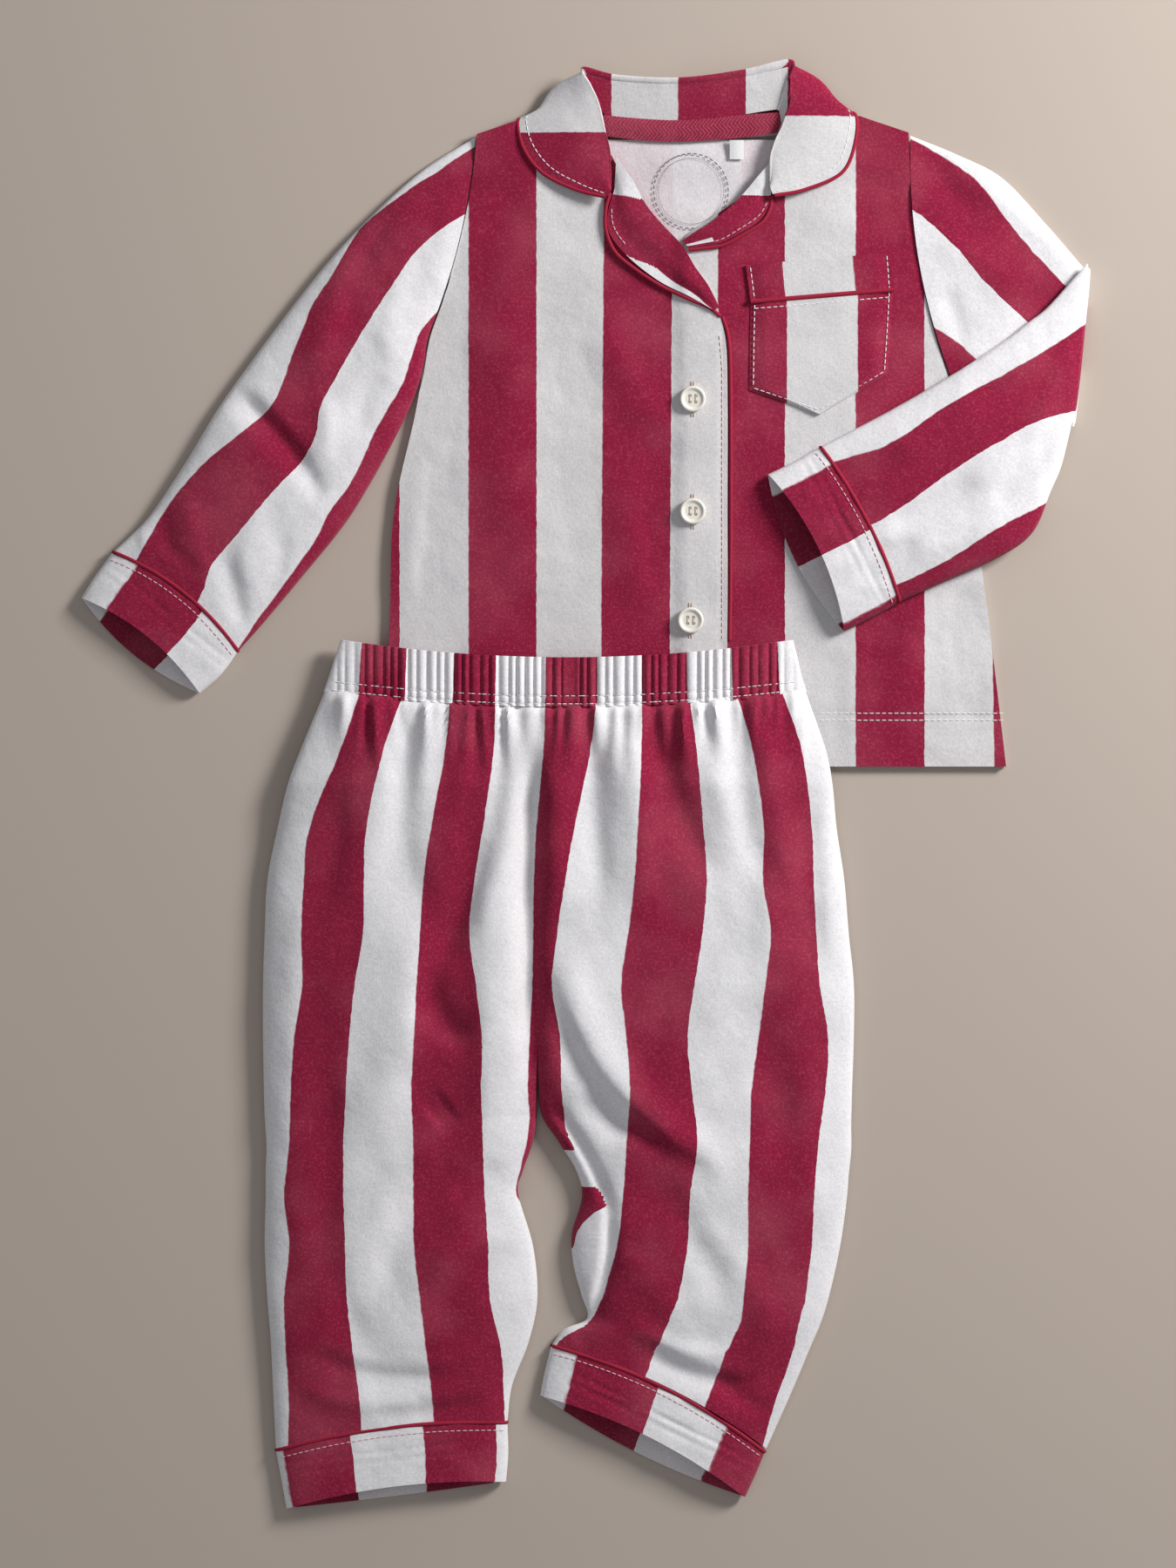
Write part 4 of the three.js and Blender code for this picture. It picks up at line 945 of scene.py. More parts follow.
# Jacket body. Rows give the side edge and the opening edge of a panel at a height.
BODY = ("y", "side", "open")
BACK_LEFT = table(BODY, [
    [298, -50.8, 38], [286, -52, 38], [274, -53.6, 38], [260, -56.4, 38], [248, -59.2, 38],
    [236, -62.4, 38], [225, -65.6, 38], [210, -71.2, 38], [188, -76.5, 38], [160, -79, 38],
    [124, -89, 38], [76, -91, 38], [8, -94, 38],
])
BACK_RIGHT = table(BODY, [
    [298, 147, 38], [286, 147.4, 38], [274, 148, 38], [260, 148.8, 38], [248, 150.2, 38],
    [236, 152.2, 38], [225, 154.4, 38], [210, 158.2, 38], [188, 165.4, 38], [160, 171, 38],
    [124, 177, 38], [76, 184, 38], [7, 192, 38],
])
FRONT_LEFT = table(BODY, [
    [296, -51, 6], [288, -51.8, 11], [270, -54.3, 22], [258, -56.8, 32], [247, -59.4, 42],
    [236, -62.4, 49], [225, -65.6, 57], [205, -72.5, 63], [180, -77.5, 64], [124, -89, 64],
    [76, -91, 64], [8, -94, 63],
])
FRONT_RIGHT = table(BODY, [
    [296, 147, 88], [282, 147.6, 85], [270, 148.2, 71.5], [259, 149, 56], [250, 150, 44],
    [246, 150.5, 44.5], [225, 154.4, 46.5], [205, 159.6, 46.5], [180, 167.5, 46.5],
    [124, 177, 46.5], [76, 184, 46.5], [7, 192, 46.5],
])
# Heights of the middle of each layer, the rise of the left front over the right one and
# behind the neck, then the width of the lap, of the climb onto it and how far free cloth
# may dip
BACK_LEVEL = 0.5
FRONT_LEVEL = 1.9
OVERLAP_LIFT = 1.4
NECK_LIFT = 1.6
LAP_END = 64
LAP = 18
LAP_CLIMB = 9
FRONT_DIP = 0.35
# The row of stitches along the button edge, the middle of the folded forearm, the ends of
# the panels and the two rows of stitches at the hem
BUTTONHOLE_EDGE = 61.4
FOREARM_LINE = ((100, 112), (230, 200))
BODY_TOP = 295.5
BODY_FOOT = 8
HEM_ROWS = (32.4, 29.2)


def neck_lift(y):
    """The back and the fronts rise over the collar behind the neck."""
    return NECK_LIFT * smooth(270, 290, y)


def free_cloth(x, y):
    """1 where the front lies free, 0 where the trousers or the folded arm press it flat."""
    (x0, y0), (x1, y1) = FOREARM_LINE
    length = math.hypot(x1 - x0, y1 - y0)
    along = ((x - x0) * (x1 - x0) + (y - y0) * (y1 - y0)) / length
    off = np.abs((y - y0) * (x1 - x0) - (x - x0) * (y1 - y0)) / length
    arm = np.maximum(smooth(46, 60, off), smooth(-24, -38, along))
    under = np.maximum(smooth(78, 94, y), smooth(112, 126, x))
    return np.minimum(arm, under)


def front_level(x, y, left):
    """Height of the middle of a front over the floor: its folds and waves where it lies
    free, the rise at the neck, the lap over the other front and the groove at its edge."""
    free = free_cloth(x, y)
    puff = fold_height("body", x, y) * free
    puff = np.maximum(puff, -FRONT_DIP) + FRONT_DIP * free
    puff = puff + 0.42 * free * waves(x, y, 36, 7) + 0.14 * waves(x, y, 16, 8) * free
    lift, groove = 0, 0
    if left:
        lift = OVERLAP_LIFT * smooth(LAP_END - LAP - LAP_CLIMB, LAP_END - LAP, x)
        groove = -0.35 * bell(x - BUTTONHOLE_EDGE, 0.9) * smooth(212, 204, y)
    return FRONT_LEVEL + neck_lift(y) + np.maximum(puff, 0) + lift + groove


def rows_at_height(columns, y):
    """Rows of a panel table at heights y."""
    index = np.interp(-y, -columns["y"], np.arange(len(columns["y"])))
    return row_at(columns, index)


def shoulder_rise(x):
    """How far the shoulder seam lies above the top of the panels: it climbs from the sleeve
    to the collar on each side."""
    left = np.interp(x, [-52, -33, -25], [2.2, 8.6, 0])
    right = np.interp(x, [112, 124, 147], [0, 11, 3.2])
    return np.maximum(left, right)


def panel_edge(columns, side, room=0.0):
    """The x of one edge of a panel for each y, moved by room."""
    return lambda y: rows_at_height(columns, y)[side] + room


def body_grid(left, right, step):
    """Places over a panel between its two edges, up to the slope of the shoulder."""
    y = np.linspace(BODY_TOP, BODY_FOOT, int((BODY_TOP - BODY_FOOT) / step) + 1)
    a, b = left(y), right(y)
    s = np.linspace(0, 1, int((b - a).max() / step) + 1)
    x = a[:, None] + (b - a)[:, None] * s
    y = np.broadcast_to(y[:, None], x.shape)
    return x, y + shoulder_rise(x) * smooth(272, BODY_TOP, y)


def build_jacket_body():
    """The back and the two fronts."""
    step = settings().fineness / MM
    x, y = body_grid(panel_edge(BACK_LEFT, "side", TOUCH),
                     panel_edge(BACK_RIGHT, "side", -TOUCH), step * 1.8)
    behind_neck = smooth(20, 34, x) * smooth(76, 62, x)
    z = BACK_LEVEL + neck_lift(y) + 0.5 * smooth(246, 262, y) * (1 + waves(x, y, 30, 3)) * (
        behind_neck) * smooth(296, 284, y)
    uv = stack(stripe_field("x", BODY_STRIPES, x, y), -y / STRIPE)
    back = sheet("jersey_back", stack(x, y, z), uv, [material("pale"), material("striped")])
    place_piece(back, "jacket_back")
    # The fronts wear the jersey whose white is darkened as painted shade.
    cloth = [material("front"), material("inside")]
    x, y = body_grid(panel_edge(FRONT_LEFT, "side", TOUCH), panel_edge(FRONT_LEFT, "open"), step)
    uv = stack(stripe_field("x", BODY_STRIPES, x, y), -y / STRIPE)
    left = sheet("jersey_front_left", stack(x, y, front_level(x, y, True)), uv, cloth)
    place_piece(left, "jacket_front_left")
    x, y = body_grid(panel_edge(FRONT_RIGHT, "open"), panel_edge(FRONT_RIGHT, "side", -TOUCH),
                     step)
    hem = -0.3 * bell(y - sum(HEM_ROWS) / 2, 1.8) * smooth(112, 126, x)
    uv = stack(stripe_field("x", RIGHT_BODY_STRIPES, x, y) + 1, -y / STRIPE)
    right = sheet("jersey_front_right", stack(x, y, front_level(x, y, False) + hem), uv, cloth)
    place_piece(right, "jacket_front_right")


def left_sleeve_folds(x, y, row):
    """Folds and soft waves of the left sleeve."""
    return fold_height("left", x, y) + 0.35 * waves(x, y, 26, 11) + 0.15 * waves(x, y, 11, 12)


def right_sleeve_folds(x, y, row):
    """Folds and soft waves of the upper arm and of the forearm over it."""
    upper = fold_height("upper", x, y) + 0.25 * waves(x, y, 26, 13)
    fore = fold_height("fore", x, y) + 0.4 * waves(x, y, 28, 14) + 0.15 * waves(x, y, 12, 15)
    return np.where(row["turn"] > 90, fore, upper)


def right_sleeve_field(points, v):
    """Stripes of the upper arm up to the fold, then those of the forearm."""
    x, y = points[..., 0], points[..., 1]
    turn = row_at(folded_rows(), v)["turn"][:, None]
    upper = stripe_field("y", UPPER_ARM_STRIPES, x, y)
    fore = stripe_field("y", FOREARM_STRIPES, x, y)
    return np.where(turn > 90, fore, upper) + 1


def build_sleeves():
    """Both sleeves: the left one lies out flat, the right one is folded over the front."""
    left = tube_wall("jersey_sleeve_left", LEFT_SLEEVE,
                     by_place("x", LEFT_SLEEVE_STRIPES, 1), 56, 150, left_sleeve_folds,
                     (TOUCH, CORD_TUCK))
    place_piece(left, "sleeve_left")
    right = tube_wall("jersey_sleeve_right", folded_rows(), right_sleeve_field, 60, 230,
                      right_sleeve_folds, (TOUCH, CORD_TUCK))
    place_piece(right, "sleeve_right")


def cuff_waves(seed, rows):
    """Soft unevenness of a cuff, with two creases along it that come and go."""
    lx, ly, rx, ry = (rows[k][0] for k in ("lx", "ly", "rx", "ry"))

    def lift(x, y, row):
        away = np.abs((x - lx) * (ry - ly) - (y - ly) * (rx - lx)) / math.hypot(
            rx - lx, ry - ly)
        away = away + 0.9 * waves(x, y, 30, seed + 2)
        crease = bell(away - 6.2, 1.1) + 0.7 * bell(away - 10.4, 1.3)
        come = 0.5 + 0.9 * waves(x, y, 26, seed + 3)
        return (0.35 * waves(x, y, 16, seed) + 0.12 * waves(x, y, 7, seed + 1)
                - 0.75 * crease * np.clip(come, 0, 1))
    return lift


# Name, rows, where its stripes change, flat size, and the node of its cord. The place in
# the list gives the seed of its waves.
CUFFS = (
    ("cuff_left", LEFT_CUFF, (0.18, 0.68), (0.135, 0.030), "piping_cuff_left"),
    ("cuff_right", RIGHT_CUFF, (0.12, 0.56, 0.955), (0.135, 0.033), "piping_cuff_right"),
    ("leg_cuff_left", LEFT_LEG_CUFF, (0.03, 0.33, 0.64, 0.955), (0.215, 0.027),
     "piping_leg_left"),
    ("leg_cuff_right", RIGHT_LEG_CUFF, (0.115, 0.48, 0.80), (0.215, 0.026),
     "piping_leg_right"),
)
CUFF_SEED = 20


def build_cuffs():
    """The cuffs of sleeves and legs, each with the red cord in its seam."""
    for k, (name, rows, bounds, flat, cord_node) in enumerate(CUFFS):
        o = tube_wall("jersey_" + name, rows, by_width(bounds, 1), 56, 26,
                      cuff_waves(CUFF_SEED + 2 * k, rows), (CORD_TUCK, 0))
        place_piece(o, name)
        path = tube_ring(rows, 0.0, 90, CORD_TUCK)[0]
        under = float(rows["mid"][0] - rows["up" if rows["turn"][0] > 90 else "dn"][0])
        path[:, 2] = np.maximum(path[:, 2], under + CORD_RADIUS)
        place_piece(cord("cord_" + name, path, CORD_RADIUS, material("piping"), closed=True),
                    cord_node, slot="red_piping")


# Collar rows: neck seam, roll, middle of the leaf and its free edge
COLLAR = ("sx", "sy", "sz", "rx", "ry", "rz", "mx", "my", "mz", "ex", "ey", "ez")
COLLAR_ROWS = table(COLLAR, [
    [5.5, 276, 6.0, 9.9, 274, 7.2, 10.4, 271.5, 7.8, 9.2, 269.4, 7.6],
    [4.5, 290, 5.4, 9.8, 289, 7.4, 3, 283, 7.6, -5, 273, 6.2],
    [2.5, 301, 5.4, 7.6, 299, 7.8, -5, 292, 7.6, -20, 280.5, 5.4],
    [4, 308, 5.4, 4.5, 312, 8.6, -12, 304, 7.2, -29, 292, 5.2],
    [6.5, 308, 5.2, 1.5, 319, 8.8, -14, 312, 5.8, -31, 305, 3.6],
    [9, 306.5, 4.8, -1.5, 326.4, 8.6, -16, 318, 2.6, -21, 299, 0.9],
    [22, 305, 4.6, 14, 323, 8.2, 10, 317, 2.2, 8, 297, 0.72],
    [42, 304, 4.6, 42, 321.8, 8.0, 42, 316, 2.0, 42, 297, 0.72],
    [64, 306, 4.6, 70, 325.2, 8.2, 74, 318, 2.2, 76, 297, 0.72],
    [84, 309, 4.8, 92, 329.8, 8.6, 105, 321, 2.6, 108, 301, 0.9],
    [87, 309, 5.2, 92, 322, 8.8, 109, 316, 5.8, 121, 308, 3.6],
    [88, 308, 5.4, 92, 312, 8.6, 107, 305, 7.2, 122, 296, 5.2],
    [89.5, 300, 5.4, 89, 302, 7.8, 102, 293, 7.6, 116, 281, 5.4],
    [90.5, 290, 5.4, 84.5, 290, 7.4, 91, 283, 7.6, 99, 273, 6.2],
    [89, 278, 6.0, 83.8, 276, 7.2, 83.6, 273, 7.8, 84.6, 270.2, 7.6],
])


def collar_points(v, s):
    """Points on the collar: v along it, s from the neck seam over the roll to the edge, on
    a curve through four places of the row and one just over the roll."""
    row = row_at(COLLAR_ROWS, v)
    seam, roll, middle, edge = (stack(row[k + "x"], row[k + "y"], row[k + "z"]) for k in "srme")
    over = roll * 0.88 + middle * 0.12
    over[..., 2] = roll[..., 2]
    knots = np.stack([seam, roll, over, middle, edge], -2)
    place = s * 4
    i = np.clip(np.floor(place).astype(int), 0, 3)
    t = (place - i)[..., None]

    def pick(k):
        return np.take_along_axis(knots, np.clip(k, 0, 4)[..., None, None], -2)[..., 0, :]
    b, c = pick(i), pick(i + 1)
    a = np.where((i > 0)[..., None], pick(i - 1), 2 * b - c)
    d = np.where((i < 3)[..., None], pick(i + 2), 2 * c - b)
    return bent(a, b, c, d, t)


NECK_TAPE = table(("ax", "ay", "bx", "by"), [
    [6.5, 306.6, 6, 297.4], [26, 304.8, 25, 295.2], [42, 304.2, 42, 294.6],
    [58, 305.2, 58, 295.4], [72, 306.8, 74, 296.8], [91.5, 308, 91, 299.4],
])
TAB_LEFT, TAB_RIGHT, TAB_TOP, TAB_FOOT = 65, 71.4, 295.2, 286.5


def between(row, share):
    """The x and y at a share of the way from place a to place b of a row."""
    return (row["ax"] * (1 - share) + row["bx"] * share,
            row["ay"] * (1 - share) + row["by"] * share)


def build_collar():
    """The collar with its corded edge."""
    v, s = spread(np.linspace(0, 14, 260), np.linspace(0, 1, 64))
    grid = collar_points(v, s)
    x, y = grid[..., 0], grid[..., 1]
    grid[..., 2] += 0.22 * waves(x, y, 18, 31) * np.sin(math.pi * s) * smooth(0, 1, v) * (
        smooth(14, 13, v))
    stand = np.interp(x, [-20, 11.2, 41.2, 72.8, 91.6, 120], [1.0, 2, 3, 4, 5, 6])
    left = np.interp(y, [268, 299, 335], [1.05, 2, 2.9])
    right = np.interp(y, [268, 306, 335], [4.1, 5, 5.9])
    roll = 0.30 + 0.22 * smooth(4.6, 5.4, v) * smooth(9.4, 8.6, v)
    number = np.where(s < roll, stand, np.where(x < 42, left, right))
    # The collar wears the jersey whose white is darkened as painted shade.
    o = sheet("jersey_collar", grid, stack(number, s * 1.6), [material("front")] * 2)
    place_piece(o, "collar")
    for name, v0, v1 in (("collar_left", 0.04, 4.2), ("collar_right", 9.8, 13.96)):
        v = np.linspace(v0, v1, 120)
        edge = collar_points(v, np.full(120, 1.0))
        out = edge - collar_points(v, np.full(120, 0.97))
        out /= np.maximum(np.linalg.norm(out, axis=1, keepdims=True), 1e-6)
        c = cord("cord_" + name, edge + out * 0.7, CORD_RADIUS, material("piping"))
        place_piece(c, "piping_" + name, slot="red_piping")


def build_neck_trim():
    """The neck tape and the size tab that hangs from it."""
    row = row_at(NECK_TAPE, np.linspace(0, 5, 90)[:, None])
    t = np.linspace(0, 1, 9)[None]
    x, y = between(row, t)
    z = 4.9 - 0.9 * t + 0.6 * np.sin(math.pi * t) + 0.15 * waves(x, y, 12, 33)
    tape = sheet("tape_neck", stack(x, y, z), stack(1.4 + 0.3 * t, x / STRIPE),
                 [material("tape")])
    place_piece(tape, "neck_tape", slot="red_cotton")
    x, y = np.meshgrid(np.linspace(TAB_LEFT, TAB_RIGHT, 10), np.linspace(TAB_TOP, TAB_FOOT, 12))
    z = 4.6 - 0.10 * (TAB_TOP - y) + 0.3 * np.sin(
        (x - TAB_LEFT) / (TAB_RIGHT - TAB_LEFT) * math.pi)
    tab = sheet("tab_size", stack(x, y, z), stack(x * 0, y / STRIPE), [material("tab")],
                thick=0.6)
    place_piece(tab, "size_tab", slot="white_label")


LAPEL = ("ax", "ay", "bx", "by")
LAPEL_LEFT = table(LAPEL, [
    [13, 287, 12.5, 273], [20, 277.5, 9.5, 264], [27, 265, 9, 255], [35, 255.5, 13.5, 247],
    [43, 247, 22.6, 238], [49, 237, 33.6, 230], [55, 228.5, 45.6, 224],
    [60.2, 218.4, 57.6, 217.2],
])
LAPEL_RIGHT = table(LAPEL, [
    [86, 288, 84, 271.5], [78.3, 279, 82.8, 265], [71.3, 270.6, 79, 258.6],
    [64.6, 264, 70, 252.8], [57, 258, 61.5, 248.3], [50, 253.6, 53.5, 247],
    [43.2, 249.2, 46, 246.2],
])
PLACE = ("x", "y")
BUTTON_EDGE = table(PLACE, [
    [61.6, 214.5], [64.3, 205], [65.3, 190], [65.5, 160], [65.5, 120], [65.3, 90], [65, 66],
])
LAPEL_LEFT_EDGE = table(PLACE, [
    [10.2, 271], [8.2, 264], [8.2, 254], [12.4, 244], [21.2, 236.4], [32.8, 228.8],
    [45.2, 222.9], [55.2, 218.6], [60.8, 214.4],
])
LAPEL_RIGHT_EDGE = table(PLACE, [
    [84.4, 269.6], [83.4, 263.6], [79.6, 257.4], [70.4, 251.6], [61.8, 247.1],
    [53.5, 245.8], [46, 245],
])


# Height of a lapel over the front, and where its stitches run across it
LAPEL_GAP = 1.05
LAPEL_STITCHES = 0.86


def lapel_height(s, long):
    """A lapel rises from its roll, comes down and lies flat along its free edge."""
    return 0.75 + 1.45 * smooth(0.80, 0.35, s) * (0.5 + 0.5 * smooth(-0.3, 0.3, s)) * long


def lapel_sheet(name, rows, left, number):
    """A lapel lying on the front: across it from the roll to the free edge."""
    last = len(rows["ax"]) - 1
    v, s = spread(np.linspace(0, last, 110), np.linspace(0, 1, 44))
    x, y = between(row_at(rows, v), s)
    long = smooth(-0.2, 1.2, v) * smooth(last + 0.2, last - 1.4, v)
    z = front_level(x, y, left) + LAPEL_GAP + lapel_height(s, long) + 0.15 * waves(x, y, 14, 35)
    return sheet(name, stack(x, y, z), stack(number(v, s, x, y), v * 0.4),
                 [material("striped"), material("inside")])


def on_front(x, y, left, lift):
    """Places over a front, lifted above it."""
    x, y = np.broadcast_arrays(x, y)
    return stack(x, y, front_level(x, y, left) + lift)


def left_lapel_number(v, s, x, y):
    """Stripe numbers of the left lapel: white at its top end, then red, with a white band
    along part of its free edge."""
    band = s > 1.02 - 0.27 * smooth(3.3, 4.6, v) * smooth(7.1, 6.2, v)
    return np.where(y + 0.19 * (x - 10) > 270.8, 0.5, np.where(band, 2.5, 1.5))


def right_lapel_number(v, s, x, y):
    """Stripe numbers of the right lapel: white at its top end, a thin white band below."""
    band = (v > 4.4) & (s > 0.62) & (s < 0.84)
    return np.where(y > 269.8, 0.5, np.where(band, 2.5, 1.5))


# Name, places, on the left front or not, and height over it
FRONT_CORDS = (
    ("button_edge", BUTTON_EDGE, True, 0.2),
    ("lapel_left", LAPEL_LEFT_EDGE, True, 1.8),
    ("lapel_right", LAPEL_RIGHT_EDGE, False, 1.8),
)
LAPEL_CORD_RADIUS = 0.9


def build_lapels():
    """The turned-out lapels and the cords along their edges and the button edge."""
    left = lapel_sheet("jersey_lapel_left", LAPEL_LEFT, True, left_lapel_number)
    place_piece(left, "lapel_left", slot="red_cotton")
    right = lapel_sheet("jersey_lapel_right", LAPEL_RIGHT, False, right_lapel_number)
    place_piece(right, "lapel_right", slot="red_cotton")
    for name, places, is_left, lift in FRONT_CORDS:
        row = row_at(places, np.linspace(0, len(places["x"]) - 1, 120))
        path = on_front(row["x"], row["y"], is_left, lift)
        if name == "lapel_left":
            path[:, 2] -= 1.4 * smooth(228, 212, path[:, 1])
        place_piece(cord("cord_" + name, path, LAPEL_CORD_RADIUS, material("piping")),
                    "piping_" + name, slot="red_piping")


POCKET = table(LAPEL, [
    [72.4, 238, 138.8, 243.6], [74.6, 221.2, 140, 226.6], [74.2, 200, 138.8, 206],
    [74, 180.5, 137.6, 188], [105.5, 169.8, 106.5, 169.6],
])
# The row of the pocket's table where its top band ends
BAND_END = 1.0


def pocket_place(v, s):
    """Places on the pocket, with straight sides and sharp corners."""
    return between({k: np.interp(v, np.arange(len(c)), c) for k, c in POCKET.items()}, s)


def pocket_grid(v0, v1, rows, lift):
    """Places over the pocket, laid on the front, with a rise inside its rim."""
    v, s = spread(np.linspace(v0, v1, rows), np.linspace(0, 1, 84))
    rim = np.minimum(s, 1 - s)
    puff = 0.7 * smooth(0.03, 0.12, rim) - 0.25 * bell(rim - 0.028, 0.01)
    return on_front(*pocket_place(v, s), False, 1.0 + lift + puff), rim


def build_pocket():
    """The patch pocket with its top band and the cord between them."""
    half = np.array([0, 0, wall_thickness() / 2])
    grid, rim = pocket_grid(BAND_END, 4, 84, 0.15)
    x, y = grid[..., 0], grid[..., 1]
    number = stripe_field("x", RIGHT_BODY_STRIPES, x - 0.9, y) + 1
    top = grid + half * (1.4 * smooth(0, 0.035, rim) - 0.4)[..., None]
    # The pocket and its band wear the jersey whose white is darkened as painted shade.
    body = wall("jersey_pocket", top, grid - half, stack(number, -y / STRIPE),
                [material("front")])
    place_piece(body, "pocket")
    grid, rim = pocket_grid(0, BAND_END - 0.02, 30, 0.3)
    x, y = grid[..., 0], grid[..., 1]
    number = stripe_field("x", RIGHT_BODY_STRIPES, x + (y - 221) * 0.10 - 0.5, y) + 1
    band = wall("jersey_pocket_band", grid + half, grid - half, stack(number, -y / STRIPE),
                [material("front")])
    place_piece(band, "pocket_band")
    path = on_front(*pocket_place(np.full(90, BAND_END), np.linspace(0, 1, 90)), False, 2.2)
    place_piece(cord("cord_pocket", path, 1.1, material("piping")), "piping_pocket",
                slot="red_piping")


BUTTONS = ((48, 176.5, "button_1"), (48, 125, "button_2"), (47, 75, "button_3"))
# Place and depth of the four holes, and half the length of the sewn slit
HOLE_OFFSET = 1.35
HOLE_DEPTH = 1.15
SLIT_HALF = 8.6
# Shares of the radius and heights: the dish and its rim, then the back
BUTTON_PROFILE = ([0, 0.60, 0.68, 0.80, 0.90, 0.97, 1.0], [1.35, 1.4, 1.6, 2.15, 2.2, 1.9, 1.3])
BUTTON_BACK = ([1.0, 0.97, 0.8, 0], [0.8, 0.25, 0, 0])


def build_buttons():
    """Cream buttons: a round dish with a rolled rim and four holes, over a sewn slit."""
    radius = settings().button_radius / MM
    r = np.concatenate([np.linspace(0, 0.55, 40), np.linspace(0.57, 1.0, 22), BUTTON_BACK[0]])
    high = np.interp(r, *BUTTON_PROFILE)
    back = -len(BUTTON_BACK[0])
    high[back:] = BUTTON_BACK[1]
    a = np.linspace(0, 2 * math.pi, 96, endpoint=False)
    x = r[:, None] * radius * np.cos(a)
    y = r[:, None] * radius * np.sin(a)
    z = np.broadcast_to(high[:, None], x.shape).copy()
    for sx in (-1, 1):
        for sy in (-1, 1):
            away = np.hypot(x - sx * HOLE_OFFSET, y - sy * HOLE_OFFSET)
            z[:back] -= (smooth(0.80, 0.60, away) * HOLE_DEPTH)[:back]
    faces = grid_faces(96, len(r), True, False, 0)
    threads, slits = [], []
    for bx, by, name in BUTTONS:
        level = float(front_level(np.array([bx]), np.array([by]), True)[0])
        points = stack(x + bx, y + by, z + (level + 0.75)).reshape(-1, 3)
        o = add_mesh("disc_" + name, points, faces, np.zeros((len(points), 2)),
                     [material("button")], sharp=35)
        place_piece(o, name, slot="cream_button")
        threads += [np.array([[bx + side * HOLE_OFFSET, by + end * HOLE_OFFSET, level + up]
                              for end, up in ((-1, 1.9), (0, 2.5), (1, 1.9))])
                    for side in (-1, 1)]
        slits += [on_front(np.full(24, bx + side),
                           np.linspace(by - SLIT_HALF, by + SLIT_HALF, 24), True, 0.62)
                  for side in (-0.55, 0.55)]
    place_piece(stitches("thread_buttonholes", slits, material("slit"), 0.36),
                slot="white_label")
    place_piece(stitches("thread_buttons", threads, material("slit"), 0.26),
                slot="white_label")


# Trousers. A row gives the inner and outer edge of a leg, the level of its underside, its
# depth, and how far its inner side is shut: 0 at the rise seams, 1 below the crotch.
LEG = ("ix", "iy", "ox", "oy", "z", "up", "shut", "bow")
LEFT_LEG = table(LEG, [
    [-10, 35, -121, 41.5, 4.6, 5.5, 0, -1],
    [-13.5, 15, -131.6, 16, 4.6, 7.0, 0, 0],
    [-16.5, -1, -137.5, 0, 4.5, 8.0, 0, 0],
    [-18, -20, -142.4, -20, 1.2, 10.5, 0, 0],
    [-19.6, -44, -147.2, -44, 0, 11.5, 0, 0],
    [-20.4, -68, -148.4, -68, 0, 11.5, 0, 0],
    [-21.6, -92, -149.2, -92, 0, 11.5, 0, 0],
    [-22.8, -116, -149.2, -116, 0, 11.0, 0, 0],
    [-23.6, -136, -148.8, -140, 0, 10.5, 0.35, 0],
    [-23.6, -152, -148.4, -153, 0, 10.0, 1, 0],
    [-25.2, -164, -147.6, -166, 0, 10.0, 1, 0],
    [-30, -178, -148, -178, 0, 10.0, 1, 0],
    [-32, -188, -148, -190, 0, 10.0, 1, 0],
    [-25.2, -212, -148.4, -212, 0, 10.0, 1, 0],
    [-23.2, -236, -147.2, -236, 0, 9.5, 1, 0],
    [-27.2, -256, -145.6, -256, 0, 9.0, 1, 1],
    [-34.8, -276, -144.4, -282, 0, 7.5, 1, 3],
    [-37, -292.8, -143.2, -305.6, 0, 6.2, 1, 4.4],
])
RIGHT_LEG = table(LEG, [
    [-9.5, 35, 100, 41.5, 4.6, 5.5, 0, -1],
    [-13.2, 15, 108.8, 16, 4.6, 7.0, 0, 0],
    [-16.2, -1, 112, 0, 4.5, 8.0, 0, 0],
    [-17.8, -20, 114, -20, 1.2, 10.5, 0, 0],
    [-19.4, -44, 117.6, -44, 0, 11.5, 0, 0],
    [-20.2, -68, 119.6, -68, 0, 11.5, 0, 0],
    [-21.4, -92, 122, -92, 0, 11.5, 0, 0],
    [-22.6, -116, 122, -116, 0, 11.0, 0, 0],
    [-22.6, -136, 121.2, -140, 0, 10.5, 0.35, 0],
    [-21.2, -152, 120.8, -156, 0, 10.0, 1, 0],
    [-13.6, -164, 120.8, -168, 0, 10.0, 1, 0],
    [-5.2, -178, 119.6, -180, 0, 10.0, 1, 0],
    [-2.8, -190, 118.8, -190, 0, 10.0, 1, 0],
    [-7.4, -206, 116.4, -208, 0, 10.0, 1, 0],
    [-6.8, -220, 112.8, -226, 0, 9.5, 1, 0],
    [-3.2, -234, 108, -244, 0, 9.0, 1, 0],
    [-0.4, -245, 101, -261, 0, 8.0, 1, 1],
    [-11, -250.2, 93, -280, 0, 7.2, 1, 4],
    [-16.8, -257.6, 81.2, -306.4, 0, 6.2, 1, 6],
])
# Height of the side seam over the underside of a leg, how far the two legs lap at the rise
# seam, the row where a leg starts and the width over which the inseam's bands change
LEG_FOOT = 1.7
RISE_OVERLAP = 0.2
LEG_START = -0.07
PATCH_EDGE = 8
# The inner edge of the front layer of the right leg, beyond which its back layer shows
INSEAM = table(PLACE, [
    [-24, -140], [-16, -149], [-4.8, -170], [4, -184], [9.2, -193], [12.6, -207],
    [8.4, -226], [2.8, -243], [-2, -248.5], [-10, -252.5], [-14.2, -256], [-18, -262],
])


def waist_top(x):
    """The y of the seam under the waistband."""
    return 41.5 - 6.5 * np.clip(1 - ((x + 10) / 111) ** 2, 0, 1)


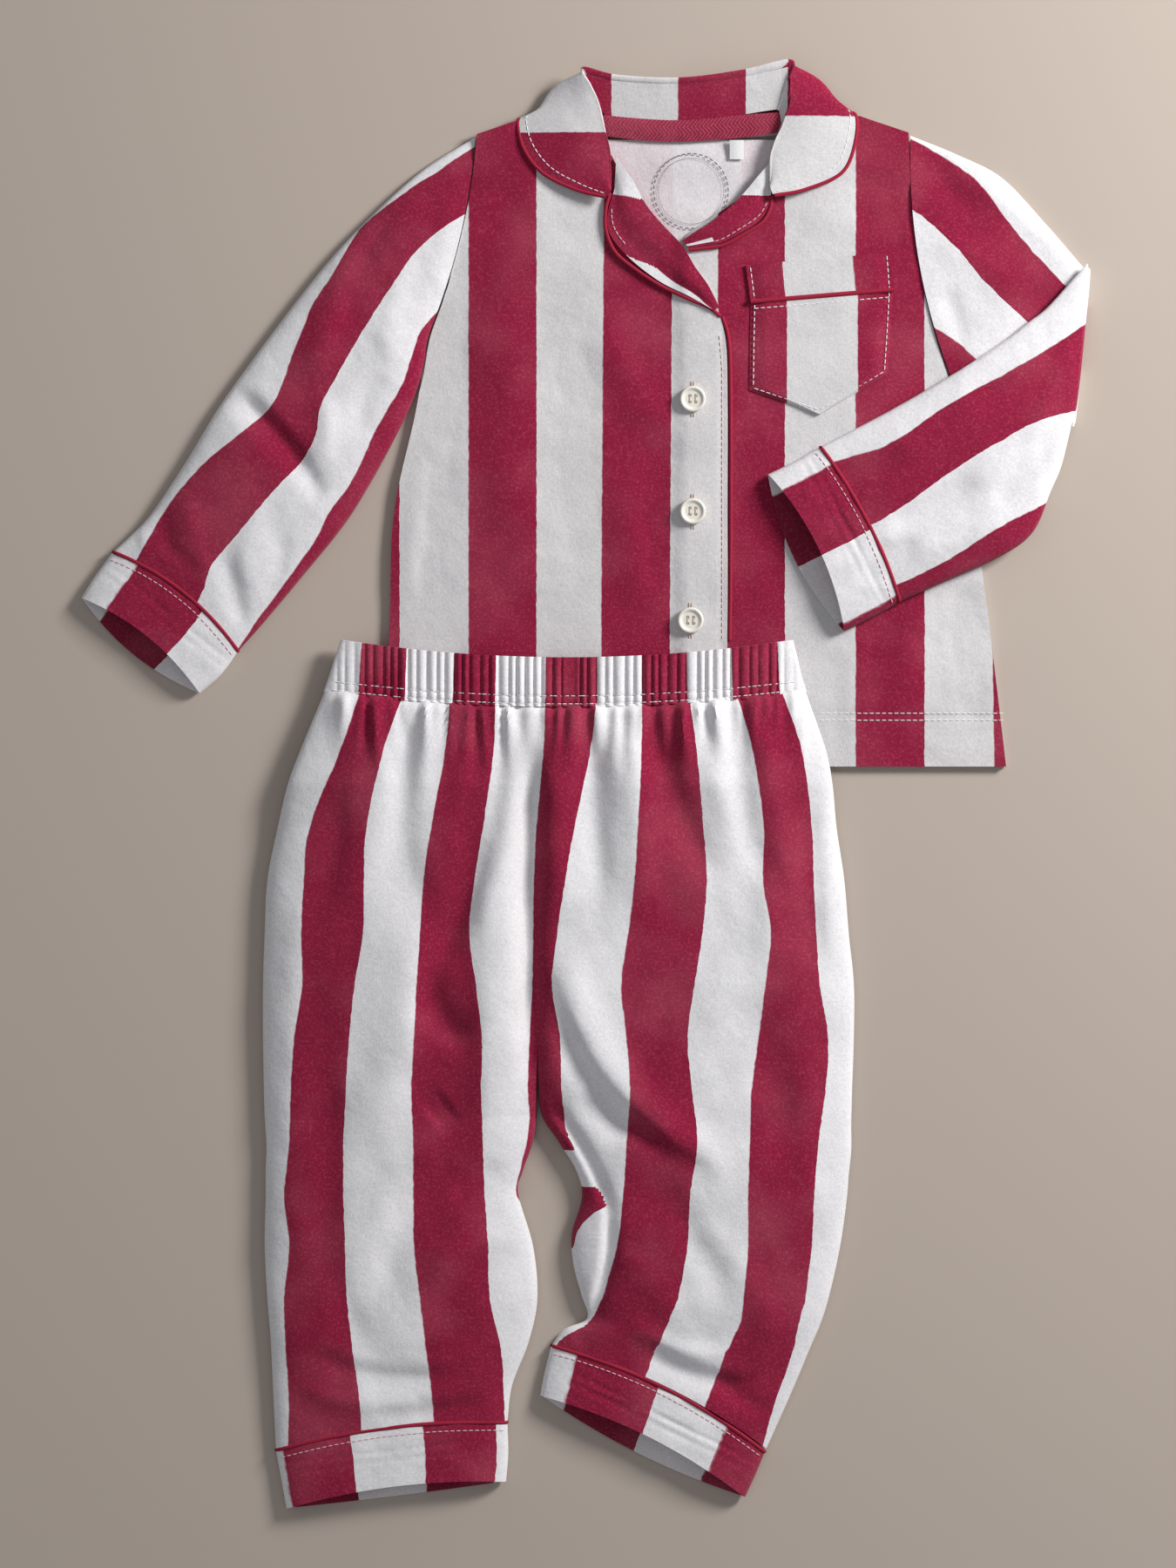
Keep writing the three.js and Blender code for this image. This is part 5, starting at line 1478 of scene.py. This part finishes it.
def leg_lift(x, y):
    """Folds, gathers under the waistband and soft waves on the front of the legs."""
    near = smooth(20, -60, y)
    return (1.25 * fold_height("leg", x, y)
            + gathers(x, y, 41, 44, (-120, 98), waist_top, 38, 1.7, 2.0)
            + gathers(x, y, 45, 13, (-112, 92), waist_top, 92, 5.0, 2.1)
            - 1.3 * smooth(-3, 1.5, y - waist_top(x))
            + (0.45 + 0.45 * near) * waves(x, y, 34, 43) + 0.2 * waves(x, y, 13, 44))


def leg_points(columns, v, t, front, inset):
    """Points on the front or back of a leg: along it by v, across it by t from the inner
    to the outer edge. Above the crotch the inner edge stays open at the rise seam."""
    row = row_at(columns, v)
    row = {k: np.broadcast_to(c, t.shape) for k, c in row.items()}
    w = stack(row["ox"] - row["ix"], row["oy"] - row["iy"])
    length = np.linalg.norm(w, axis=-1)
    w = w / length[..., None]
    down = stack(-w[..., 1], w[..., 0])
    down = np.where(down[..., 1:2] > 0, -down, down)
    curve = dome(t, DOME if front else FLOOR_SIDE)
    shut = np.where(t < 0, row["shut"], 1)
    fall = 1 - shut + shut * curve
    start = TOUCH / 2 - RISE_OVERLAP * (1 - row["shut"]) + row["shut"] * inset
    flat = start + (length - start - inset) * (t + 1) / 2
    foot = row["z"] + LEG_FOOT
    if front:
        z = foot + SEAM / 2 + (row["up"] - inset) * fall
    else:
        z = foot - SEAM / 2 - (LEG_FOOT - SEAM / 2 - inset) * fall
    bow = -row["bow"] * (1 - t * t)
    x = row["ix"] + w[..., 0] * flat + down[..., 0] * bow
    y = row["iy"] + w[..., 1] * flat + down[..., 1] * bow
    if front:
        edge = 1 - shut * t ** 6
        room = row["up"] - 1.9
        z = z + np.maximum(-room, leg_lift(x, y)) * edge
    return stack(x, y, z)


def leg_field(points, left):
    """Stripes of a leg. On the right one the back layer shows beyond the inseam, with
    bands of its own."""
    x, y = points[..., 0], points[..., 1]
    if left:
        return stripe_field("x", LEFT_LEG_STRIPES, x, y) + 1
    order = np.argsort(INSEAM["y"])
    edge = np.interp(y, INSEAM["y"][order], INSEAM["x"][order])
    patch_end = np.interp(x, [-6.6, -5.6, -2.5, 3.1, 9.6], [213, 206.6, 201.4, 196.2, 193])
    upper, lower, last = (np.clip(way / PATCH_EDGE, -0.5, 0.5)
                          for way in (-y - 168, 184.5 + y, -y - patch_end))
    bands = np.where(y > -176, upper, np.where(-y > patch_end - 4, last, lower))
    return np.where((x < edge) & (y < -148), bands,
                    stripe_field("x", RIGHT_LEG_STRIPES, x, y))


def build_legs():
    """Front and back of both legs."""
    for name, columns, foot in (("left", LEFT_LEG, 0.03), ("right", RIGHT_LEG, 0.06)):
        last = len(columns["ix"]) - 1
        for side, rows, cols in (("front", 235, 92), ("back", 110, 40)):
            v, t = spread(np.linspace(LEG_START, last - foot, rows), across(cols))
            outer, inner = (leg_points(columns, v, t, side == "front", inset)
                            for inset in (0, wall_thickness()))
            uv = stack(leg_field(outer, name == "left"), -outer[..., 1] / STRIPE)
            o = wall("jersey_%s_leg_%s" % (side, name), outer, inner, uv,
                     [material("striped"), material("inside")])
            place_piece(o, "trouser_%s_%s" % (side, name))


# The two rows of stitches, as shares of the band's height, and the step of its ribs
BAND_STITCHES = (0.055, 0.22)
RIB = 4.1


def rib_height(x, share):
    """Soft ribs of the gathered waistband: narrow valleys at uneven steps, with a smooth
    piece in the middle of the front."""
    shift = 0.5 * np.sin(x * 0.21) + 0.35 * np.sin(x * 0.57 + 1)
    phase = (x + shift) / RIB * math.pi
    depth = 0.75 + 0.25 * np.sin(x * 0.33 + 2) * np.cos(x * 0.11)
    smooth_piece = 1 - np.exp(-((x + 8) / 3.2) ** 4)
    ribs = np.abs(np.sin(phase)) ** 0.8 - 0.5
    return 2.1 * ribs * depth * smooth_piece * (0.8 + 0.2 * np.sin(math.pi * share))


def build_waistband():
    """The gathered waistband: a flat ring with ribs across its front. Returns the places
    of its two rows of stitches."""
    share, t = spread(np.linspace(0, 1, 34), np.linspace(-1, 1, 520))

    def side(upper, inset, t, share):
        p = tube_points(WAISTBAND, share * 3, t, upper, inset)
        if upper:
            creases = -0.5 * sum(bell(share - row, 0.018) for row in BAND_STITCHES)
            p[..., 2] += (rib_height(p[..., 0], share) + creases
                          + 0.2 * waves(p[..., 0], p[..., 1], 24, 51)) * (1 - t ** 8)
        return p
    low = slice(1, -1, 4)
    outer, inner = (np.concatenate([side(True, inset, t, share),
                                    side(False, inset, t[:, ::-1][:, low], share[:, low])],
                                   axis=1) for inset in (0, wall_thickness()))
    number = stripe_field("x", BAND_STRIPES, outer[..., 0], outer[..., 1]) + 1
    uv = stack(number, np.linspace(0, 24 / STRIPE, 34)[:, None])
    o = wall("jersey_waistband", outer, inner, uv, [material("striped"), material("inside")],
             wrap=True)
    place_piece(o, "waistband")
    along = np.linspace(-0.97, 0.97, 400)
    return [side(True, 0, along, np.full(400, row)) + [0, 0, 0.25] for row in BAND_STITCHES]


def cuff_line(rows, v, on):
    """A line across the side of a cuff that shows, at row v."""
    t = np.linspace(-0.97, 0.97, 160)
    turned = bool(row_at(rows, np.array([v]))["turn"][0] > 90)
    return tube_points(rows, np.full(160, v), t, not turned, 0, on) + [0, 0, 0.12]


def build_stitching(band_rows):
    """Every row of stitches that shows: on cuffs, hem, button edge, pocket and waistband."""
    white = list(band_rows)
    pink = [cuff_line(rows, 0.26, cuff_waves(CUFF_SEED + 2 * k, rows))
            for k, (name, rows, *rest) in enumerate(CUFFS)]
    white += [on_front(np.linspace(106, 191, 120), y, False, 0.5) for y in HEM_ROWS]
    y = np.linspace(206, 66, 160)
    pink.append(on_front(np.interp(-y, [-206, -190, -66], [60.2, 61.6, 61.6]), y, True, 0.72))
    for share in (0.028, 0.972):
        white.append(on_front(*pocket_place(np.linspace(0.05, 2.9, 120), share), False, 1.78))
    for corner_x, corner_y, tip_x in ((75.8, 181.6, 105.8), (135.8, 189.2, 106.2)):
        white.append(on_front(np.linspace(corner_x, tip_x, 50), np.linspace(corner_y, 171.6, 50),
                              False, np.linspace(1.85, 2.5, 50)))
    white.append(on_front(*pocket_place(np.full(90, BAND_END + 0.16), np.linspace(0.02, 0.98, 90)),
                          False, 2.35))
    for v0, v1 in ((0.14, 5.0), (9.4, 13.86)):
        white.append(collar_points(np.linspace(v0, v1, 120), np.full(120, 0.955))
                     + [0, 0, 0.55])
    for rows, is_left, v0, v1 in ((LAPEL_LEFT, True, 1.2, 3.1), (LAPEL_RIGHT, False, 1.0, 4.4)):
        x, y = between(row_at(rows, np.linspace(v0, v1, 120)), LAPEL_STITCHES)
        pink.append(on_front(x, y, is_left,
                             LAPEL_GAP + lapel_height(LAPEL_STITCHES, 1.0) + 0.62))
    place_piece(stitches("thread_white", white, material("thread")), slot="white_label")
    place_piece(stitches("thread_pink", pink, material("pink")), slot="red_cotton")


STAMP_CENTRE = (47.2, 272.0)
# Outer radius, number of dashes and their width
STAMP_RINGS = ((17.4, 40, 0.6), (15.2, 90, 0.3))
DASH_SHARE = 0.62


def build_stamp():
    """A round stamp inside the neck: two rings of thin dashes, each a four-cornered patch
    between two angles and two radii."""
    corners = []
    for outside, count, wide in STAMP_RINGS:
        start = np.arange(count) / count * 6.283
        end = (np.arange(count) + DASH_SHARE) / count * 6.283
        for angle, r in ((start, outside - wide), (end, outside - wide), (end, outside),
                         (start, outside)):
            corners.append(stack(STAMP_CENTRE[0] + r * np.cos(angle),
                                 STAMP_CENTRE[1] + r * np.sin(angle)))
    rings = [np.stack(corners[k:k + 4], 1) for k in (0, 4)]
    x, y = np.concatenate(rings).reshape(-1, 2).T
    o = add_mesh("stamp_neck", stack(x, y, BACK_LEVEL + neck_lift(y) + 1.62),
                 np.arange(len(x)).reshape(-1, 4), np.zeros((len(x), 2)), [material("print")])
    place_piece(o, slot="white_label")


FLOOR_HALF, FLOOR_LEVEL = 4.0, -0.0006
# Lights: place in metres, power in watts, width in metres and colour
LIGHTS = {
    "key": ((1.2, 0.8, 0.74), 30, 0.42, (1, 0.99, 0.98)),
    "fill": ((-0.9, -0.5, 2.5), 4, 2.4, (0.96, 0.98, 1)),
}
WORLD_COLOUR, WORLD_STRENGTH = (0.93, 0.95, 1, 1), 0.27
# Sensor height in millimetres, and the height of the image on the floor in metres
SENSOR = 36
IMAGE_HEIGHT = 0.72


def stage_object(name, data):
    """An object of the stage, linked to the scene."""
    o = bpy.data.objects.new(name, data)
    bpy.context.scene.collection.objects.link(o)
    return o


def build_stage():
    """A pale floor, soft light from the upper right and the camera straight above."""
    scene = bpy.context.scene
    distance = settings().view_distance
    mesh = bpy.data.meshes.new("floor")
    mesh.from_pydata([(x * FLOOR_HALF, y * FLOOR_HALF, FLOOR_LEVEL)
                      for x, y in ((-1, -1), (1, -1), (1, 1), (-1, 1))], [], [(0, 1, 2, 3)])
    mesh.materials.append(material("floor"))
    stage_object("floor", mesh)
    for name, (place, power, width, colour) in LIGHTS.items():
        data = bpy.data.lights.new(name, "AREA")
        data.energy, data.size, data.color = power, width, colour
        light = stage_object(name, data)
        light.location = place
        light.rotation_mode = "QUATERNION"
        light.rotation_quaternion = light.location.to_track_quat("Z", "Y")
    world = bpy.data.worlds.new("pale surround")
    world.use_nodes = True
    background = world.node_tree.nodes["Background"]
    background.inputs[0].default_value = WORLD_COLOUR
    background.inputs[1].default_value = WORLD_STRENGTH
    scene.world = world
    data = bpy.data.cameras.new("camera")
    data.sensor_fit = "VERTICAL"
    data.sensor_height = SENSOR
    data.lens = SENSOR * distance / IMAGE_HEIGHT
    data.clip_end = 20
    scene.camera = stage_object("camera", data)
    scene.camera.location = (CENTRE[0] * MM, CENTRE[1] * MM, distance)
    scene.view_settings.view_transform = "Standard"


# The waistband's rows of stitches, from the step that builds it to the one that sews
BAND_ROWS = []


class PYJAMA_OT_jacket_body(bpy.types.Operator):
    """Build the back and the two fronts of the jacket"""

    bl_idname = "pyjama.jacket_body"
    bl_label = "Jacket Body"

    def execute(self, context):
        build_jacket_body()
        return {"FINISHED"}


class PYJAMA_OT_sleeves(bpy.types.Operator):
    """Build both sleeves, the right one folded over the front"""

    bl_idname = "pyjama.sleeves"
    bl_label = "Sleeves"

    def execute(self, context):
        build_sleeves()
        return {"FINISHED"}


class PYJAMA_OT_cuffs(bpy.types.Operator):
    """Build the four cuffs with their cords"""

    bl_idname = "pyjama.cuffs"
    bl_label = "Cuffs"

    def execute(self, context):
        build_cuffs()
        return {"FINISHED"}


class PYJAMA_OT_collar(bpy.types.Operator):
    """Build the collar, the neck tape and the size tab"""

    bl_idname = "pyjama.collar"
    bl_label = "Collar"

    def execute(self, context):
        build_collar()
        build_neck_trim()
        return {"FINISHED"}


class PYJAMA_OT_lapels(bpy.types.Operator):
    """Build the lapels and the cords along the front edges"""

    bl_idname = "pyjama.lapels"
    bl_label = "Lapels"

    def execute(self, context):
        build_lapels()
        return {"FINISHED"}


class PYJAMA_OT_pocket(bpy.types.Operator):
    """Build the patch pocket"""

    bl_idname = "pyjama.pocket"
    bl_label = "Pocket"

    def execute(self, context):
        build_pocket()
        return {"FINISHED"}


class PYJAMA_OT_buttons(bpy.types.Operator):
    """Build the buttons and their sewn slits"""

    bl_idname = "pyjama.buttons"
    bl_label = "Buttons"

    def execute(self, context):
        build_buttons()
        return {"FINISHED"}


class PYJAMA_OT_legs(bpy.types.Operator):
    """Build the front and back of both trouser legs"""

    bl_idname = "pyjama.legs"
    bl_label = "Trouser Legs"

    def execute(self, context):
        build_legs()
        return {"FINISHED"}


class PYJAMA_OT_waistband(bpy.types.Operator):
    """Build the gathered waistband"""

    bl_idname = "pyjama.waistband"
    bl_label = "Waistband"

    def execute(self, context):
        BAND_ROWS[:] = build_waistband()
        return {"FINISHED"}


class PYJAMA_OT_stitching(bpy.types.Operator):
    """Sew the rows of stitches; the waistband comes first"""

    bl_idname = "pyjama.stitching"
    bl_label = "Stitching"

    def execute(self, context):
        if not BAND_ROWS:
            raise RuntimeError("the waistband comes before the stitching")
        build_stitching(BAND_ROWS)
        return {"FINISHED"}


class PYJAMA_OT_stamp(bpy.types.Operator):
    """Print the round stamp inside the neck"""

    bl_idname = "pyjama.stamp"
    bl_label = "Neck Stamp"

    def execute(self, context):
        build_stamp()
        return {"FINISHED"}


class PYJAMA_OT_stage(bpy.types.Operator):
    """Set up the floor, the lights and the camera"""

    bl_idname = "pyjama.stage"
    bl_label = "Stage"

    def execute(self, context):
        build_stage()
        return {"FINISHED"}


OPERATORS = (
    PYJAMA_OT_jacket_body, PYJAMA_OT_sleeves, PYJAMA_OT_cuffs, PYJAMA_OT_collar,
    PYJAMA_OT_lapels, PYJAMA_OT_pocket, PYJAMA_OT_buttons, PYJAMA_OT_legs,
    PYJAMA_OT_waistband, PYJAMA_OT_stitching, PYJAMA_OT_stamp, PYJAMA_OT_stage,
)


class PYJAMA_PT_panel(bpy.types.Panel):
    """Lists the steps that build the set"""

    bl_idname = "PYJAMA_PT_panel"
    bl_label = "Pyjama Set"
    bl_space_type = "VIEW_3D"
    bl_region_type = "UI"
    bl_category = "Pyjamas"

    def draw(self, context):
        for name in ("wall", "fineness", "fold_strength", "stitch_length", "button_radius",
                     "view_distance", "white", "shaded_white", "red", "pink"):
            self.layout.prop(settings(), name)
        for operator in OPERATORS:
            self.layout.operator(operator.bl_idname)


CLASSES = (PyjamaSettings,) + OPERATORS + (PYJAMA_PT_panel,)


def register():
    for c in CLASSES:
        bpy.utils.register_class(c)
    bpy.types.Scene.pyjama_settings = bpy.props.PointerProperty(type=PyjamaSettings)


def unregister():
    del bpy.types.Scene.pyjama_settings
    for c in reversed(CLASSES):
        bpy.utils.unregister_class(c)


def main():
    """Registers the add-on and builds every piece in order."""
    register()
    bpy.ops.pyjama.jacket_body()
    bpy.ops.pyjama.sleeves()
    bpy.ops.pyjama.cuffs()
    bpy.ops.pyjama.collar()
    bpy.ops.pyjama.lapels()
    bpy.ops.pyjama.pocket()
    bpy.ops.pyjama.buttons()
    bpy.ops.pyjama.legs()
    bpy.ops.pyjama.waistband()
    bpy.ops.pyjama.stitching()
    bpy.ops.pyjama.stamp()
    bpy.ops.pyjama.stage()


if __name__ == "__main__":
    main()
